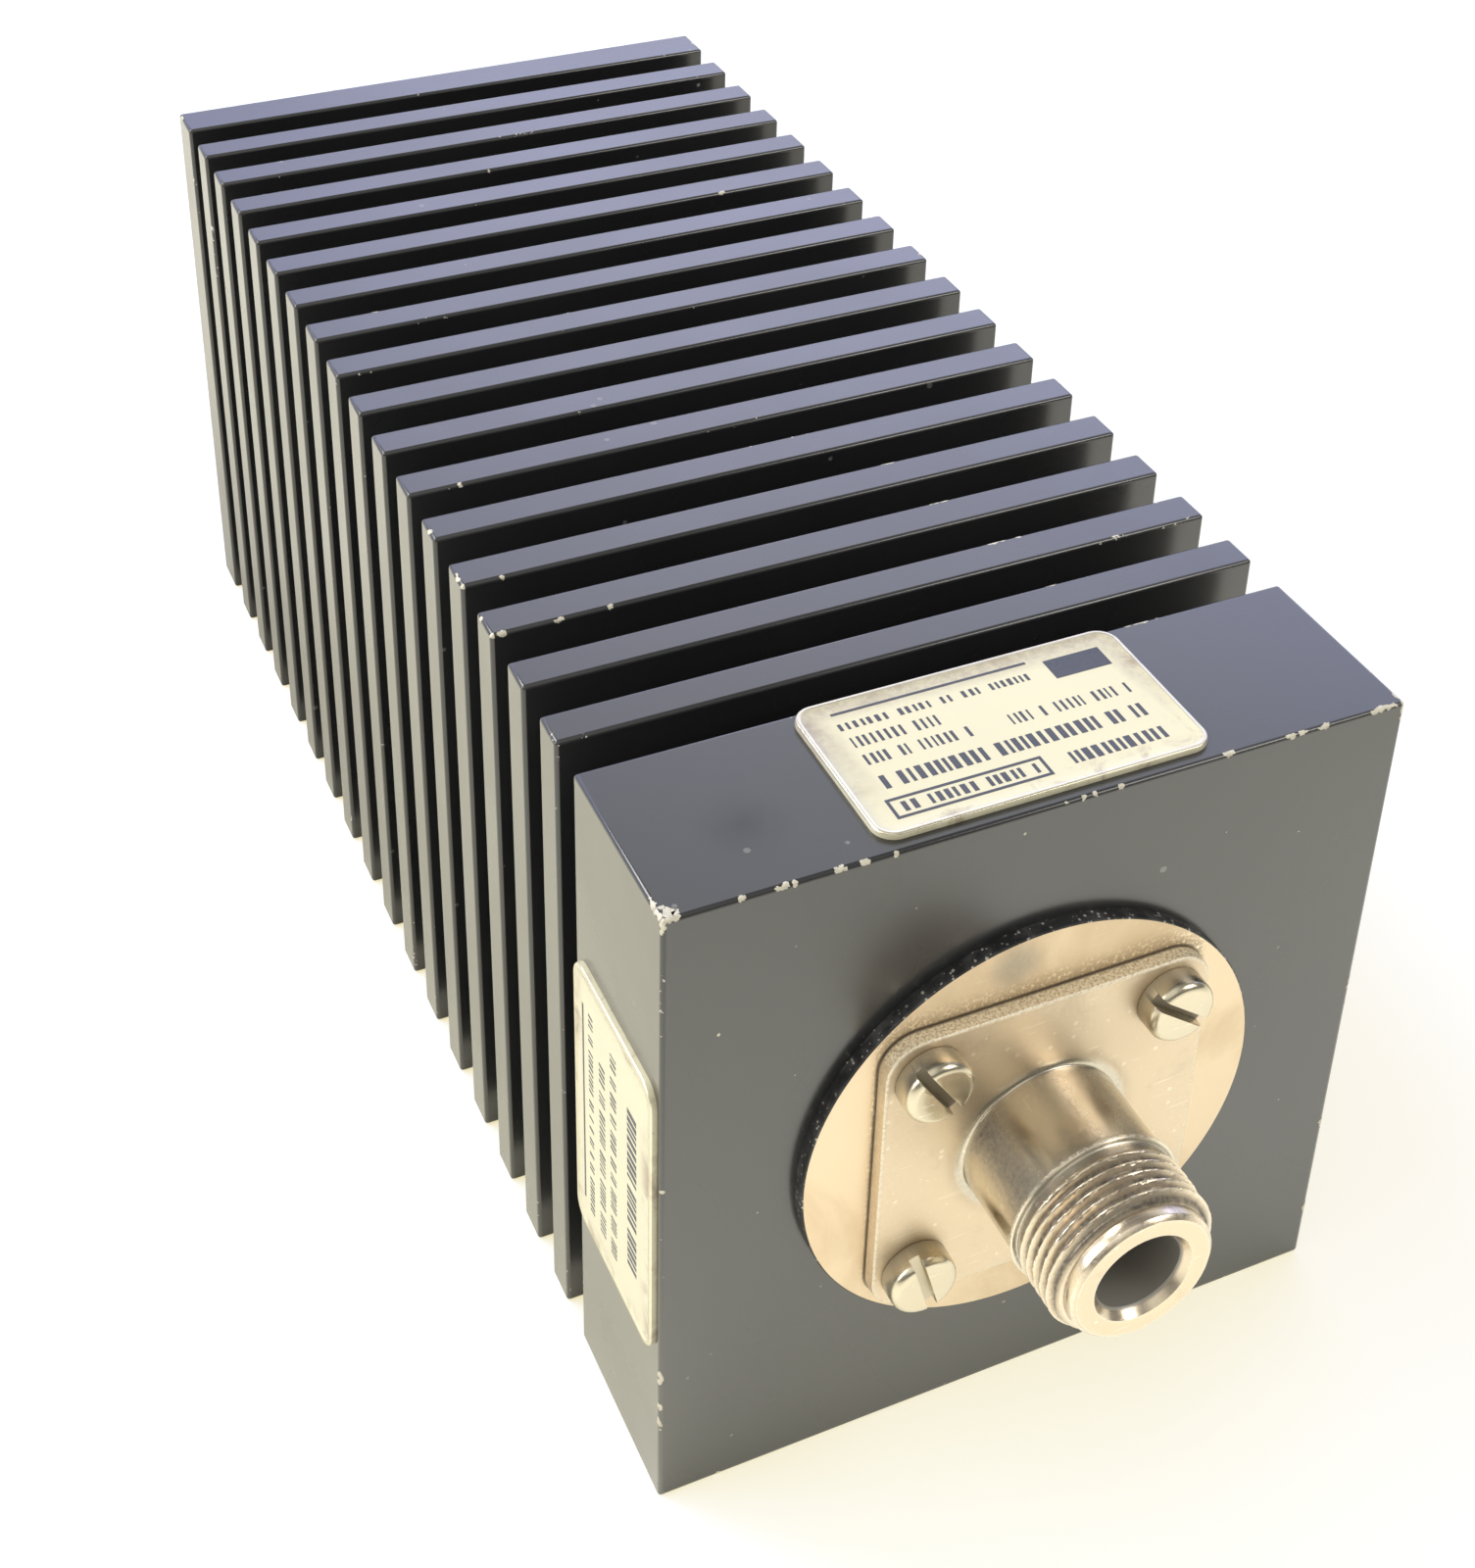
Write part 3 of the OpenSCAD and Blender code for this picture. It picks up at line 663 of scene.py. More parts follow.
chipSet = {
    "lift": 0.012 * mm,
    "thick": 0.06 * mm,
    "step": 0.1 * mm,
    "torn": 0.95,
    "tornLimit": 0.6,
    "tornGrain": (2.1, 2.6, 3.7),
    "spread": 0.65,
    "falloff": 0.62,
    "shake": 0.028 * mm,
    "speckSides": 9,
    "cornerSteps": 6,
    "lengthScale": 0.9,
    "reachScale": 0.28,
    # slab, edge, middle along the edge, length, reach on its first and second face
    "edges": [
        (0, "topLeft", 1.6, 2.6, 0.3, 0.35), (0, "topFront", 0.9, 1.3, 0.5, 0.3),
        (0, "frontLeft", 69.0, 1.5, 0.5, 0.3), (0, "topFront", 6.7, 0.9, 0.15, 0.3),
        (0, "topFront", 10.3, 1.3, 0.35, 0.3), (0, "topFront", 11.3, 0.5, 0.1, 0.4),
        (0, "topFront", 15.4, 1.5, 0.5, 0.15), (0, "topFront", 17.4, 1.1, 0.4, 0.2),
        (0, "topFront", 20.2, 0.4, 0.1, 0.35), (0, "topFront", 35.9, 0.6, 0.1, 0.45),
        (0, "topFront", 37.5, 0.6, 0.15, 0.35), (0, "topFront", 38.6, 0.5, 0.05, 0.3),
        (0, "topFront", 41.1, 0.6, 0.25, 0.15), (0, "topFront", 51.7, 1.2, 0.45, 0.3),
        (0, "topFront", 58.0, 1.2, 0.1, 0.15), (0, "topFront", 59.2, 1.4, 0.2, 0.1),
        (0, "topFront", 61.4, 1.2, 0.2, 0.1), (0, "topFront", 67.6, 3.0, 0.45, 0.3),
        (0, "topRight", 1.3, 2.4, 0.3, 0.4), (0, "frontRight", 68.8, 2.0, 0.2, 0.3),
        (0, "topRight", 4.9, 0.8, 0.2, 0.2), (0, "frontRight", 37.0, 1.6, 0.35, 0.5),
        (0, "frontRight", 34.2, 0.5, 0.2, 0.4), (0, "frontRight", 18.4, 1.1, 0.9, 0.3),
        (0, "frontRight", 6.4, 1.5, 0.5, 0.7), (0, "frontLeft", 16.3, 1.9, 0.25, 0.2),
        (0, "frontLeft", 12.6, 1.0, 0.2, 0.2), (0, "frontLeft", 10.2, 1.7, 0.25, 0.2),
        (0, "frontLeft", 39.8, 0.5, 0.2, 0.15), (0, "bottomFront", 5.8, 1.3, 0.5, 0.2),
        (0, "bottomFront", 61.0, 0.9, 0.35, 0.2), (0, "topBack", 54.3, 2.6, 0.35, 0.2),
        (0, "topBack", 56.5, 0.6, 0.2, 0.1), (1, "topBack", 50.2, 1.2, 0.25, 0.2),
        (2, "topBack", 48.9, 2.8, 0.45, 0.2), (2, "topBack", 51.3, 0.8, 0.25, 0.1),
        (3, "topBack", 47.0, 2.0, 0.4, 0.2), (4, "topBack", 45.9, 1.7, 0.45, 0.2),
        (3, "topFront", 1.0, 1.0, 0.2, 0.3), (3, "topFront", 6.5, 1.0, 0.25, 0.2),
        (3, "topFront", 11.5, 0.8, 0.15, 0.2), (3, "topLeft", 2.9, 0.8, 0.3, 0.2),
        (4, "topLeft", 1.6, 1.4, 0.35, 0.25), (4, "topFront", 4.0, 0.5, 0.2, 0.2),
        (5, "topLeft", 1.6, 0.7, 0.2, 0.2), (10, "topBack", 7.8, 0.9, 0.3, 0.15),
        (12, "topFront", 54.9, 0.8, 0.25, 0.15), (6, "frontRight", 44.0, 0.8, 0.3, 0.2),
        (9, "topRight", 1.4, 0.9, 0.3, 0.3), (14, "topFront", 31.0, 0.5, 0.2, 0.1),
        (17, "topRight", 2.4, 1.4, 0.4, 0.4), (17, "topLeft", 4.2, 1.1, 0.3, 0.4),
        (17, "backRight", 66.0, 1.8, 0.4, 0.4), (17, "backLeft", 24.0, 1.2, 0.3, 0.4),
        (17, "topBack", 20.0, 1.3, 0.4, 0.3),
    ],
    # blunted corners, each where three faces of a slab meet
    "corners": [(0, up, left, front), (0, up, -left, front), (3, up, left, front), (4, up, left, front),
                (17, up, -left, -front)],
    # loose specks on the front face: x, z and size
    "specks": [
        (32.1, 67.8, 0.2), (5.0, 56.0, 0.22), (12.0, 48.6, 0.09), (60.5, 58.4, 0.1), (22.4, 63.2, 0.08),
        (9.0, 33.5, 0.09), (63.8, 24.0, 0.1), (52.6, 61.0, 0.08), (15.5, 21.0, 0.08), (58.2, 9.6, 0.1),
    ],
    # bare patches on the block's top: x, depth behind the front face and size
    "patches": [(0.88, 0.88, 0.78), (1.45, 0.62, 0.42), (0.62, 1.55, 0.42)],
}

edgeRuns = {
    "topFront": (Vector((1, 0, 0)), up, front),
    "topBack": (Vector((1, 0, 0)), up, -front),
    "topLeft": (Vector((0, 1, 0)), up, left),
    "topRight": (Vector((0, 1, 0)), up, -left),
    "frontLeft": (up, front, left),
    "frontRight": (up, front, -left),
    "backLeft": (up, -front, left),
    "backRight": (up, -front, -left),
    "bottomFront": (Vector((1, 0, 0)), front, -up),
}


def onEdge(spine, faceA, faceB, reach, lift):
    # point on the rounded edge, reach along the surface from its middle, negative on the first face
    radius = radiatorShape["edgeRound"]
    quarter = radius * math.pi / 4
    if abs(reach) <= quarter:
        turn = (reach / quarter + 1) * math.pi / 4
        outward = faceA * math.cos(turn) + faceB * math.sin(turn)
        return spine - (faceA + faceB) * radius + outward * (radius + lift)
    away = radius + abs(reach) - quarter
    if reach < 0:
        return spine - faceB * away + faceA * lift
    return spine - faceA * away + faceB * lift


def bridged(cells):
    # fills in wherever two cells touch at a corner only
    loose = True
    while loose:
        loose = False
        for i, k in sorted(cells):
            for side in (-1, 1):
                if (i + 1, k + side) in cells and (i + 1, k) not in cells and (i, k + side) not in cells:
                    cells.add((i + 1, k))
                    loose = True
    return cells


def addEdgeChip(bm, index, span, name, middle, length, reachA, reachB):
    run, faceA, faceB = edgeRuns[name]
    length *= chipSet["lengthScale"]
    reachA *= chipSet["reachScale"]
    reachB *= chipSet["reachScale"]
    start = slabCorner(span, faceA + faceB)
    end = slabCorner(span, faceA + faceB + run)
    radius = radiatorShape["edgeRound"]
    low, high = -(reachA * mm + radius * math.pi / 4), reachB * mm + radius * math.pi / 4
    alongGrain, acrossGrain, chipGrain = chipSet["tornGrain"]
    spread = chipSet["spread"] * length * mm
    first = max(middle * mm - spread, radius)
    last = min(middle * mm + spread, (end - start).length - radius)
    across = max(4, round((high - low) / chipSet["step"]))
    along = max(4, round((last - first) / chipSet["step"]))
    cells = set()
    for i in range(along):
        for k in range(across):
            u = (first + (last - first) * (i + 0.5) / along) / mm
            w = (low + (high - low) * (k + 0.5) / across) / mm
            torn = noise.noise(Vector((u * alongGrain, w * acrossGrain, index * chipGrain)))
            off = ((u - middle) / (chipSet["falloff"] * length)) ** 2 + (2 * (k + 0.5) / across - 1) ** 2
            if off + chipSet["torn"] * torn < chipSet["tornLimit"]:
                cells.add((i, k))
    made = {}

    def corner(i, k):
        if (i, k) not in made:
            shake = noise.random_vector() * chipSet["shake"]
            spine = start + run * (first + (last - first) * i / along + shake.x)
            reach = low + (high - low) * k / across + shake.y
            made[i, k] = bm.verts.new(onEdge(spine, faceA, faceB, reach, chipSet["lift"]))
        return made[i, k]

    for i, k in sorted(bridged(cells)):
        face = bm.faces.new((corner(i, k), corner(i + 1, k), corner(i + 1, k + 1), corner(i, k + 1)))
        face.normal_update()
        if face.normal.dot(faceA + faceB) < 0:
            face.normal_flip()


def addCornerChip(bm, span, a, b, c):
    # rounded corner laid bare, as a patch of a small sphere
    radius = radiatorShape["edgeRound"]
    centre = slabCorner(span, a + b + c) - (a + b + c) * radius
    steps = chipSet["cornerSteps"]
    grid = {}
    for i in range(steps + 1):
        for k in range(steps + 1 - i):
            way = (a * i + b * k + c * (steps - i - k)).normalized()
            grid[i, k] = bm.verts.new(centre + way * (radius + chipSet["lift"]))
    for i in range(steps):
        for k in range(steps - i):
            bm.faces.new((grid[i, k], grid[i + 1, k], grid[i, k + 1]))
            if i + k < steps - 1:
                bm.faces.new((grid[i + 1, k], grid[i + 1, k + 1], grid[i, k + 1]))
    for face in {f for v in grid.values() for f in v.link_faces}:
        face.normal_update()
        if face.normal.dot(a + b + c) < 0:
            face.normal_flip()


def addSpeck(bm, x, z, size, centre, rise):
    # ragged flat spot, whose numbers also seed its outline
    sides = chipSet["speckSides"]
    ring = []
    for i in range(sides):
        turn = 2 * math.pi * i / sides
        reach = size * mm * (0.72 + 0.5 * noise.noise(Vector((x * 3 + i * 1.7, z, 0))))
        ring.append(bm.verts.new(centre + (rise * math.sin(turn) - left * math.cos(turn)) * reach))
    hub = bm.verts.new(centre)
    for i in range(sides):
        bm.faces.new((hub, ring[i], ring[(i + 1) % sides]))


def makeChips():
    noise.seed_set(11)
    spans = slabSpans()
    bm = bmesh.new()
    for index, (slab, name, *sizes) in enumerate(chipSet["edges"]):
        addEdgeChip(bm, index, spans[slab], name, *sizes)
    for slab, *faces in chipSet["corners"]:
        addCornerChip(bm, spans[slab], *faces)
    for x, z, size in chipSet["specks"]:
        centre = Vector((radiatorLow.x + x * mm, blockFace - chipSet["lift"], z * mm))
        addSpeck(bm, x, z, size, centre, up)
    for x, deep, size in chipSet["patches"]:
        centre = Vector((radiatorLow.x + x * mm, blockFace + deep * mm, radiatorHigh.z + chipSet["lift"]))
        addSpeck(bm, x, deep, size, centre, -front)
    mesh = bpy.data.meshes.new("paintChips")
    bm.to_mesh(mesh)
    bm.free()
    piece = linked("paintChips", mesh)
    shell = piece.modifiers.new("shell", "SOLIDIFY")
    shell.thickness = chipSet["thick"]
    shell.offset = -1
    settle(piece, 50)
    return place(piece, bareMetalFinish(), "black_paint")


# front disc

discShape = {
    "radius": 22.4 * mm,
    "edgeRound": 0.22 * mm,
    "face": 0.0,  # depths are measured from the block's face
    "rimPaint": 22.26 * mm,
    "plateHalf": 15.9 * mm,
    "residue": 2.6 * mm,
    "sideResidue": 0.7 * mm,
    "residueTurn": (-3.0 * mm, 1.0 * mm),
    "residueRise": (-12.0 * mm, 14.0 * mm),
    "joint": (0.06 * mm, 0.26 * mm),  # dark line round the plate
    "turning": 26000.0,
    # grey patch of painted dark reflection near the disc's top
    "smudgeAndShadeAt": (-3.2 * mm, -70.8 * mm, 54.6 * mm),
    "smudgeAndShadeSize": 3.4 * mm,
    "spigotRadius": 20.5 * mm,
    "spigotEnd": 15.0 * mm,
    "grooveStart": 7.0 * mm,
    "grooveEnd": 9.3 * mm,
    "grooveRadius": 18.9 * mm,
    "seatRadius": 6.02 * mm,
    "seatEnd": 4.65 * mm,
    "lineRadius": 3.5 * mm,
    "lineEnd": 6.15 * mm,
    "hornRadius": 11.22 * mm,
    "sides": 192,
}


def makeDisc():
    shape = discShape
    inside = [
        ("radius", "face"), ("spigotRadius", "face"), ("spigotRadius", "grooveStart"),
        ("grooveRadius", "grooveStart"), ("grooveRadius", "grooveEnd"), ("spigotRadius", "grooveEnd"),
        ("spigotRadius", "spigotEnd"), ("hornRadius", "spigotEnd"), ("lineRadius", "lineEnd"),
        ("lineRadius", "seatEnd"), ("seatRadius", "seatEnd"),
    ]
    profile = [(shape["seatRadius"], discFace), (shape["radius"], discFace, shape["edgeRound"])]
    profile = rounded(profile + [(shape[radius], blockFace + shape[depth]) for radius, depth in inside])
    bm = bmesh.new()
    turned(bm, profile, shape["sides"])
    return place(toObject("frontDisc", bm), discFinish(), "plated_flange", "load_flange")


# socket: square plate, barrel, lip, relief, thread and nose

socketShape = {
    "plateThick": 1.6 * mm,
    "plateCorner": 3.4 * mm,
    "plateEdge": 0.16 * mm,
    "barrelRadius": 7.75 * mm,
    "barrelLength": 8.8 * mm,
    "flare": 0.45 * mm,
    "flareRise": 0.45,
    "lipRadius": 8.15 * mm,
    "lipLength": 0.4 * mm,
    "reliefRadius": 7.65 * mm,
    "reliefLength": 1.1 * mm,
    "crestRadius": 7.9375 * mm,
    "threadLength": 5.2 * mm,
    "pitch": 25.4 / 24 * mm,
    "threadDepth": 0.56 * mm,
    "rowsPerTurn": 22,
    "noseRadius": 6.8 * mm,
    "noseBevel": 0.4 * mm,
    "mouthRadius": 4.7 * mm,
    "mouthDepth": 0.9 * mm,
    "boreRadius": 4.05 * mm,
    "boreDepth": 9.1 * mm,
    "lineRadius": 3.5 * mm,
    "nickDepth": 0.13 * mm,
    # where one finish passes into the next, from the axis and along it
    "plateFade": (8.2 * mm, 8.8 * mm),
    "boreFade": (4.08 * mm, 4.3 * mm),
    "barrelFade": (-83.6 * mm, -81.6 * mm),
    # degrees round the barrel, width and depth of the painted highlight streak and of the painted dark
    # reflection bands
    "rubbedAndHighlight": (88, 9, 0.55),
    "darkBands": ((58, 14, 0.42), (150, 20, 0.72), (205, 14, 0.3)),
    "sides": 360,
}


def squareRow(half, corner, y, count):
    # rounded square with as many points as a circle row
    row = []
    inner = half - corner
    for i in range(count):
        turn = 2 * math.pi * (i + 0.5) / count
        ray = Vector((math.cos(turn), math.sin(turn)))
        reach = half / max(abs(ray.x), abs(ray.y))
        point = ray * reach
        if min(abs(point.x), abs(point.y)) > inner:
            hub = Vector((math.copysign(inner, ray.x), math.copysign(inner, ray.y)))
            along = ray.dot(hub)
            reach = along + math.sqrt(max(along * along - hub.length_squared + corner * corner, 0))
            point = ray * reach
        row.append((point.x, y, axisZ + point.y))
    return row


def clamped(value):
    return min(max(value, 0.0), 1.0)


def threadHeight(phase):
    # 0 at the root, 1 on the crest, over one pitch
    rise = min(abs(phase - 0.5), 0.5) * 2  # 0 in the crest's middle
    return 1 - clamped((rise - 0.1) / 0.72)


def bell(angle, at, wide):
    return math.exp(-((angle - at) / wide) ** 2)


def barrelHighlightAndDarkBands(y, count):
    # painted highlight streak on the barrel's top, and painted dark reflection bands, mostly on its left
    # side, over light random tarnish
    bright, tarnishAndDarkBands = [], []
    for i in range(count):
        turn = 2 * math.pi * (i + 0.5) / count
        spot = Vector((math.cos(turn) * 1.6, y / mm * 0.16, math.sin(turn) * 1.6))
        angle = math.degrees(turn) + 2 * noise.noise(spot * 2)
        at, wide, depth = socketShape["rubbedAndHighlight"]
        bright.append(bell(angle, at, wide) * (depth + 0.2 * noise.noise(spot * 5)))
        darkBands = sum(depth * bell(angle, at, wide) for at, wide, depth in socketShape["darkBands"])
        tarnishAndDarkBands.append(clamped(0.04 + darkBands + 0.3 * noise.noise(spot)) * (1 - min(bright[-1], 1.0)))
    return bright, tarnishAndDarkBands


def makeSocket():
    shape = socketShape
    count = shape["sides"]
    half = (socketHigh.x - socketLow.x) / 2
    back = discFace
    plate = back - shape["plateThick"]
    barrelEnd = plate - shape["barrelLength"]
    lipEnd = barrelEnd - shape["lipLength"]
    threadStart = lipEnd - shape["reliefLength"]
    threadEnd = threadStart - shape["threadLength"]
    edge = shape["plateEdge"]
    rows, wear, grimeAndShade, cast = [], [], [], []

    def addRow(row, worn=0.0, grimeAndShadeLevel=0.0, grainy=0.0):
        rows.append(row)
        for values, value in ((wear, worn), (grimeAndShade, grimeAndShadeLevel), (cast, grainy)):
            values.append([value] * count if isinstance(value, float) else value)

    def ring(radius, y, worn=0.0, grimeAndShadeLevel=0.0, grainy=0.0):
        turns = [2 * math.pi * (i + 0.5) / count for i in range(count)]
        addRow([(radius * math.cos(t), y, axisZ + radius * math.sin(t)) for t in turns], worn, grimeAndShadeLevel, grainy)

    # plate, from the line bore outwards over the back and inwards over the front
    ring(shape["lineRadius"], back)
    corner = shape["plateCorner"]
    addRow(squareRow(half - 0.08 * mm, corner, back, count), 0.0, 0.9)
    addRow(squareRow(half, corner, back - 0.1 * mm, count), 0.0, 0.85)
    upper = [1.0 if 0.7 < 2 * math.pi * i / count < 2.4 else 0.25 for i in range(count)]  # sandy upper edge
    addRow(squareRow(half, corner, back - 0.3 * mm, count), 0.0, 0.1, upper)
    addRow(squareRow(half, corner, plate + edge, count), 0.1, 0.0, upper)
    for k in range(1, 5):
        turn = math.pi / 2 * k / 4
        inset = edge * (1 - math.cos(turn))
        level = plate + edge * (1 - math.sin(turn))
        addRow(squareRow(half - inset, corner - inset, level, count), 1.0, 0.0, 0.3)
    addRow(squareRow(half - 2 * edge, corner - edge, plate, count), 0.1)
    flareRadius = shape["barrelRadius"] + shape["flare"]
    ring(flareRadius + 1.5 * mm, plate)
    ring(flareRadius + 0.15 * mm, plate, 0.0, 0.15)
    # the foot ring at the barrel's base is darkened a little as painted shade
    for k in range(6):
        turn = math.pi / 2 * k / 5
        level = plate - shape["flareRise"] * shape["flare"] * (1 - math.cos(turn))
        ring(flareRadius - shape["flare"] * math.sin(turn), level, 0.0, 0.18)
    for share in (0.1, 0.22, 0.34, 0.46, 0.58, 0.7, 0.82, 0.94):
        y = plate + (barrelEnd - plate) * share
        # the barrel's rows take the painted highlight streak as wear and the painted dark reflection bands as
        # darkening
        ring(shape["barrelRadius"], y, *barrelHighlightAndDarkBands(y, count))
    ring(shape["barrelRadius"], barrelEnd + 0.05 * mm, 0.0, 0.5)
    # lip and relief groove
    lip = shape["lipRadius"]
    ring(lip - 0.1 * mm, barrelEnd, 0.6)
    ring(lip, barrelEnd - 0.1 * mm, 1.0)
    ring(lip, lipEnd + 0.1 * mm, 1.0)
    ring(lip - 0.1 * mm, lipEnd, 0.5)
    ring(shape["reliefRadius"] + 0.12 * mm, lipEnd - 0.03 * mm, 0.0, 0.7)
    ring(shape["reliefRadius"], lipEnd - 0.18 * mm, 0.0, 0.15)
    ring(shape["reliefRadius"], threadStart + 0.15 * mm, 0.0, 0.1)
    # thread, cut as a wave on the turned surface
    rowCount = round(shape["threadLength"] / shape["pitch"] * shape["rowsPerTurn"])
    for k in range(rowCount + 1):
        y = threadStart + (threadEnd - threadStart) * k / rowCount
        row, worn, grimeAndShadeLevel = [], [], []
        for i in range(count):
            turn = 2 * math.pi * (i + 0.5) / count
            phase = ((threadStart - y) / shape["pitch"] + turn / (2 * math.pi)) % 1.0
            rise = threadHeight(phase)
            runIn = min((threadStart - y) / (0.55 * shape["pitch"]), 1.0)
            depth = shape["threadDepth"] * (1 - rise) * (0.35 + 0.65 * runIn)
            radius = shape["crestRadius"] - depth
            lead = shape["noseRadius"] + 0.2 * mm + (y - threadEnd) * 1.5
            radius = min(radius, lead)
            spot = Vector((math.cos(turn), y / mm * 0.9, math.sin(turn))) * 3.1
            nick = max(noise.noise(spot) - 0.25, 0) * 2.0 + max(noise.noise(spot * 4.1) - 0.3, 0) * 1.6
            radius -= shape["nickDepth"] * min(nick, 1.2) * rise
            row.append((radius * math.cos(turn), y, axisZ + radius * math.sin(turn)))
            crestWear = clamped(rise ** 3 * (0.6 + 0.9 * noise.noise(spot * 2.6)))
            rootDarkening = clamped((1 - rise) ** 1.5 * (0.95 + 0.5 * noise.noise(spot * 0.6)))
            worn.append(crestWear if rise > 0.5 else 0.0)
            grimeAndShadeLevel.append(rootDarkening * runIn)
        addRow(row, worn, grimeAndShadeLevel)
    # nose
    nose = shape["noseRadius"]
    bevel = shape["noseBevel"]
    ring(nose, threadEnd - 0.06 * mm, 0.0, 0.5)
    ring(nose, threadEnd - 0.25 * mm, 0.0, 0.1)
    ring(nose, noseFace + bevel, 0.2)
    ring(nose - 0.04 * mm, noseFace + bevel - 0.08 * mm, 0.8)
    ring(nose - bevel + 0.06 * mm, noseFace + 0.06 * mm, 0.2, 0.15)
    ring(nose - bevel, noseFace, 0.7)
    ring(nose - bevel - 0.25 * mm, noseFace)
    ring(shape["mouthRadius"] + 0.2 * mm, noseFace)
    ring(shape["mouthRadius"] + 0.02 * mm, noseFace + 0.03 * mm, 0.6)
    # bore, darkened deeper in as painted shade
    ring(shape["mouthRadius"] - 0.06 * mm, noseFace + 0.12 * mm, 0.4, 0.1)
    ring(shape["boreRadius"] + 0.26 * mm, noseFace + 0.65 * shape["mouthDepth"], 0.3, 0.1)
    ring(shape["boreRadius"], noseFace + shape["mouthDepth"], 0.0, 0.6)
    ring(shape["boreRadius"], noseFace + 0.2 * shape["boreDepth"], 0.0, 0.9)
    ring(shape["boreRadius"], noseFace + shape["boreDepth"], 0.0, 1.0)
    ring(shape["lineRadius"], noseFace + shape["boreDepth"], 0.0, 1.0)
    ring(shape["lineRadius"], back + (noseFace - back) * 0.2, 0.0, 1.0)

    bm = bmesh.new()
    layers = [bm.verts.layers.float.new(name) for name in ("edgeWear", "grimeAndShade", "cast")]
    loops = ringGrid(bm, rows, closed=True)
    for loop, *values in zip(loops, wear, grimeAndShade, cast):
        for i, v in enumerate(loop):
            for layer, value in zip(layers, values):
                v[layer] = value[i]
    return place(toObject("socketBody", bm, 38), socketFinish(), "plated_connector", "connector_body")


# four slotted screws

screwShape = {
    "pitch": 23.6 * mm,
    "headRadius": 3.25 * mm,
    "headHeight": 2.5 * mm,
    "dome": 0.8 * mm,
    "domeFlat": 1.2 * mm,
    "footRound": 0.08 * mm,
    "edgeRound": 0.09 * mm,
    "shankRadius": 2.05 * mm,
    "shankLength": 8.0 * mm,
    "slotWidth": 1.0 * mm,
    "slotDepth": 1.2 * mm,
    "slotTurns": (-56, -38, -74, 20),  # degrees, upper left, upper right, lower left, lower right
    "slotDarkening": (0.75, 0.75, 0.15, 0.6),
    "slotBand": 0.12 * mm,
    "footDarkening": 0.45,
    "footBand": 0.2 * mm,
    "sides": 64,
}


def makeScrew(index):
    shape = screwShape
    seat = discFace - socketShape["plateThick"]
    x = shape["pitch"] / 2 * (-1 if index % 2 == 0 else 1)
    z = axisZ + shape["pitch"] / 2 * (1 if index < 2 else -1)
    top = seat - shape["headHeight"]
    rings = [(shape["shankRadius"], seat + shape["shankLength"]), (shape["shankRadius"], seat),
             (shape["headRadius"] - shape["footRound"], seat),
             (shape["headRadius"], seat - shape["footRound"])]
    for k in range(9):
        turn = math.pi / 2 * k / 8
        rings.append((shape["headRadius"] - shape["dome"] * (1 - math.cos(turn)),
                      top + shape["dome"] * (1 - math.sin(turn))))
    rings.append((shape["domeFlat"], top))
    bm = bmesh.new()
    turnedSolid(bm, rings, shape["sides"])
    bmesh.ops.translate(bm, verts=bm.verts, vec=(x, 0, z - axisZ))
    screw = toObject("screw", bm)
    slot = bmesh.new()
    size = Vector((3 * shape["headRadius"], 2 * shape["slotDepth"], shape["slotWidth"]))
    spin = Matrix.Rotation(-math.radians(shape["slotTurns"][index]), 4, "Y")
    bmesh.ops.create_cube(slot, matrix=Matrix.Translation((x, top, z)) @ spin @ Matrix.Diagonal(size.to_4d()))
    carve(screw, toObject("slot", slot), "DIFFERENCE")
    soft = screw.modifiers.new("soft", "BEVEL")
    soft.width = shape["edgeRound"]
    soft.segments = 3
    soft.limit_method = "ANGLE"
    soft.angle_limit = math.radians(35)
    settle(screw)
    values = screw.data.attributes.new("grimeAndShade", "FLOAT", "POINT")
    # darker at the slot's floor and round the head's foot
    floor = top + shape["slotDepth"]
    for v, value in zip(screw.data.vertices, values.data):
        onHead = math.hypot(v.co.x - x, v.co.z - z) < shape["headRadius"]
        near = onHead and abs(v.co.y - floor) < shape["slotBand"]
        foot = v.co.y > seat - shape["footBand"]
        value.value = shape["slotDarkening"][index] if near else shape["footDarkening"] if foot else 0.0
    return screw


def makeScrews():
    screws = [makeScrew(i) for i in range(4)]
    bm = bmesh.new()
    for screw in screws:
        bm.from_mesh(screw.data)
        bpy.data.objects.remove(screw)
    piece = toObject("flangeScrews", bm)
    return place(piece, screwFinish(), "plated_screws", "flange_screws")


# nameplate and side plate

plateShape = {
    "corner": 2.0 * mm,
    "edgeRound": 0.18 * mm,
    "rim": 0.45 * mm,
    "rimStep": 0.08 * mm,
    "rimFade": 0.9 * mm,
    "recess": 0.05 * mm,
    "wearBand": 3.2 * mm,
    "stainBand": 2.2 * mm,
    "leastCorner": 0.15 * mm,
    "cornerSteps": 10,
}


def plateRow(width, height, corner, lift):
    row = []
    for quarter, (sx, sy) in enumerate(((1, 1), (-1, 1), (-1, -1), (1, -1))):
        for k in range(plateShape["cornerSteps"] + 1):
            turn = math.pi / 2 * (quarter + k / plateShape["cornerSteps"])
            row.append(Vector((sx * (width / 2 - corner) + corner * math.cos(turn),
                               sy * (height / 2 - corner) + corner * math.sin(turn), lift)))
    return row


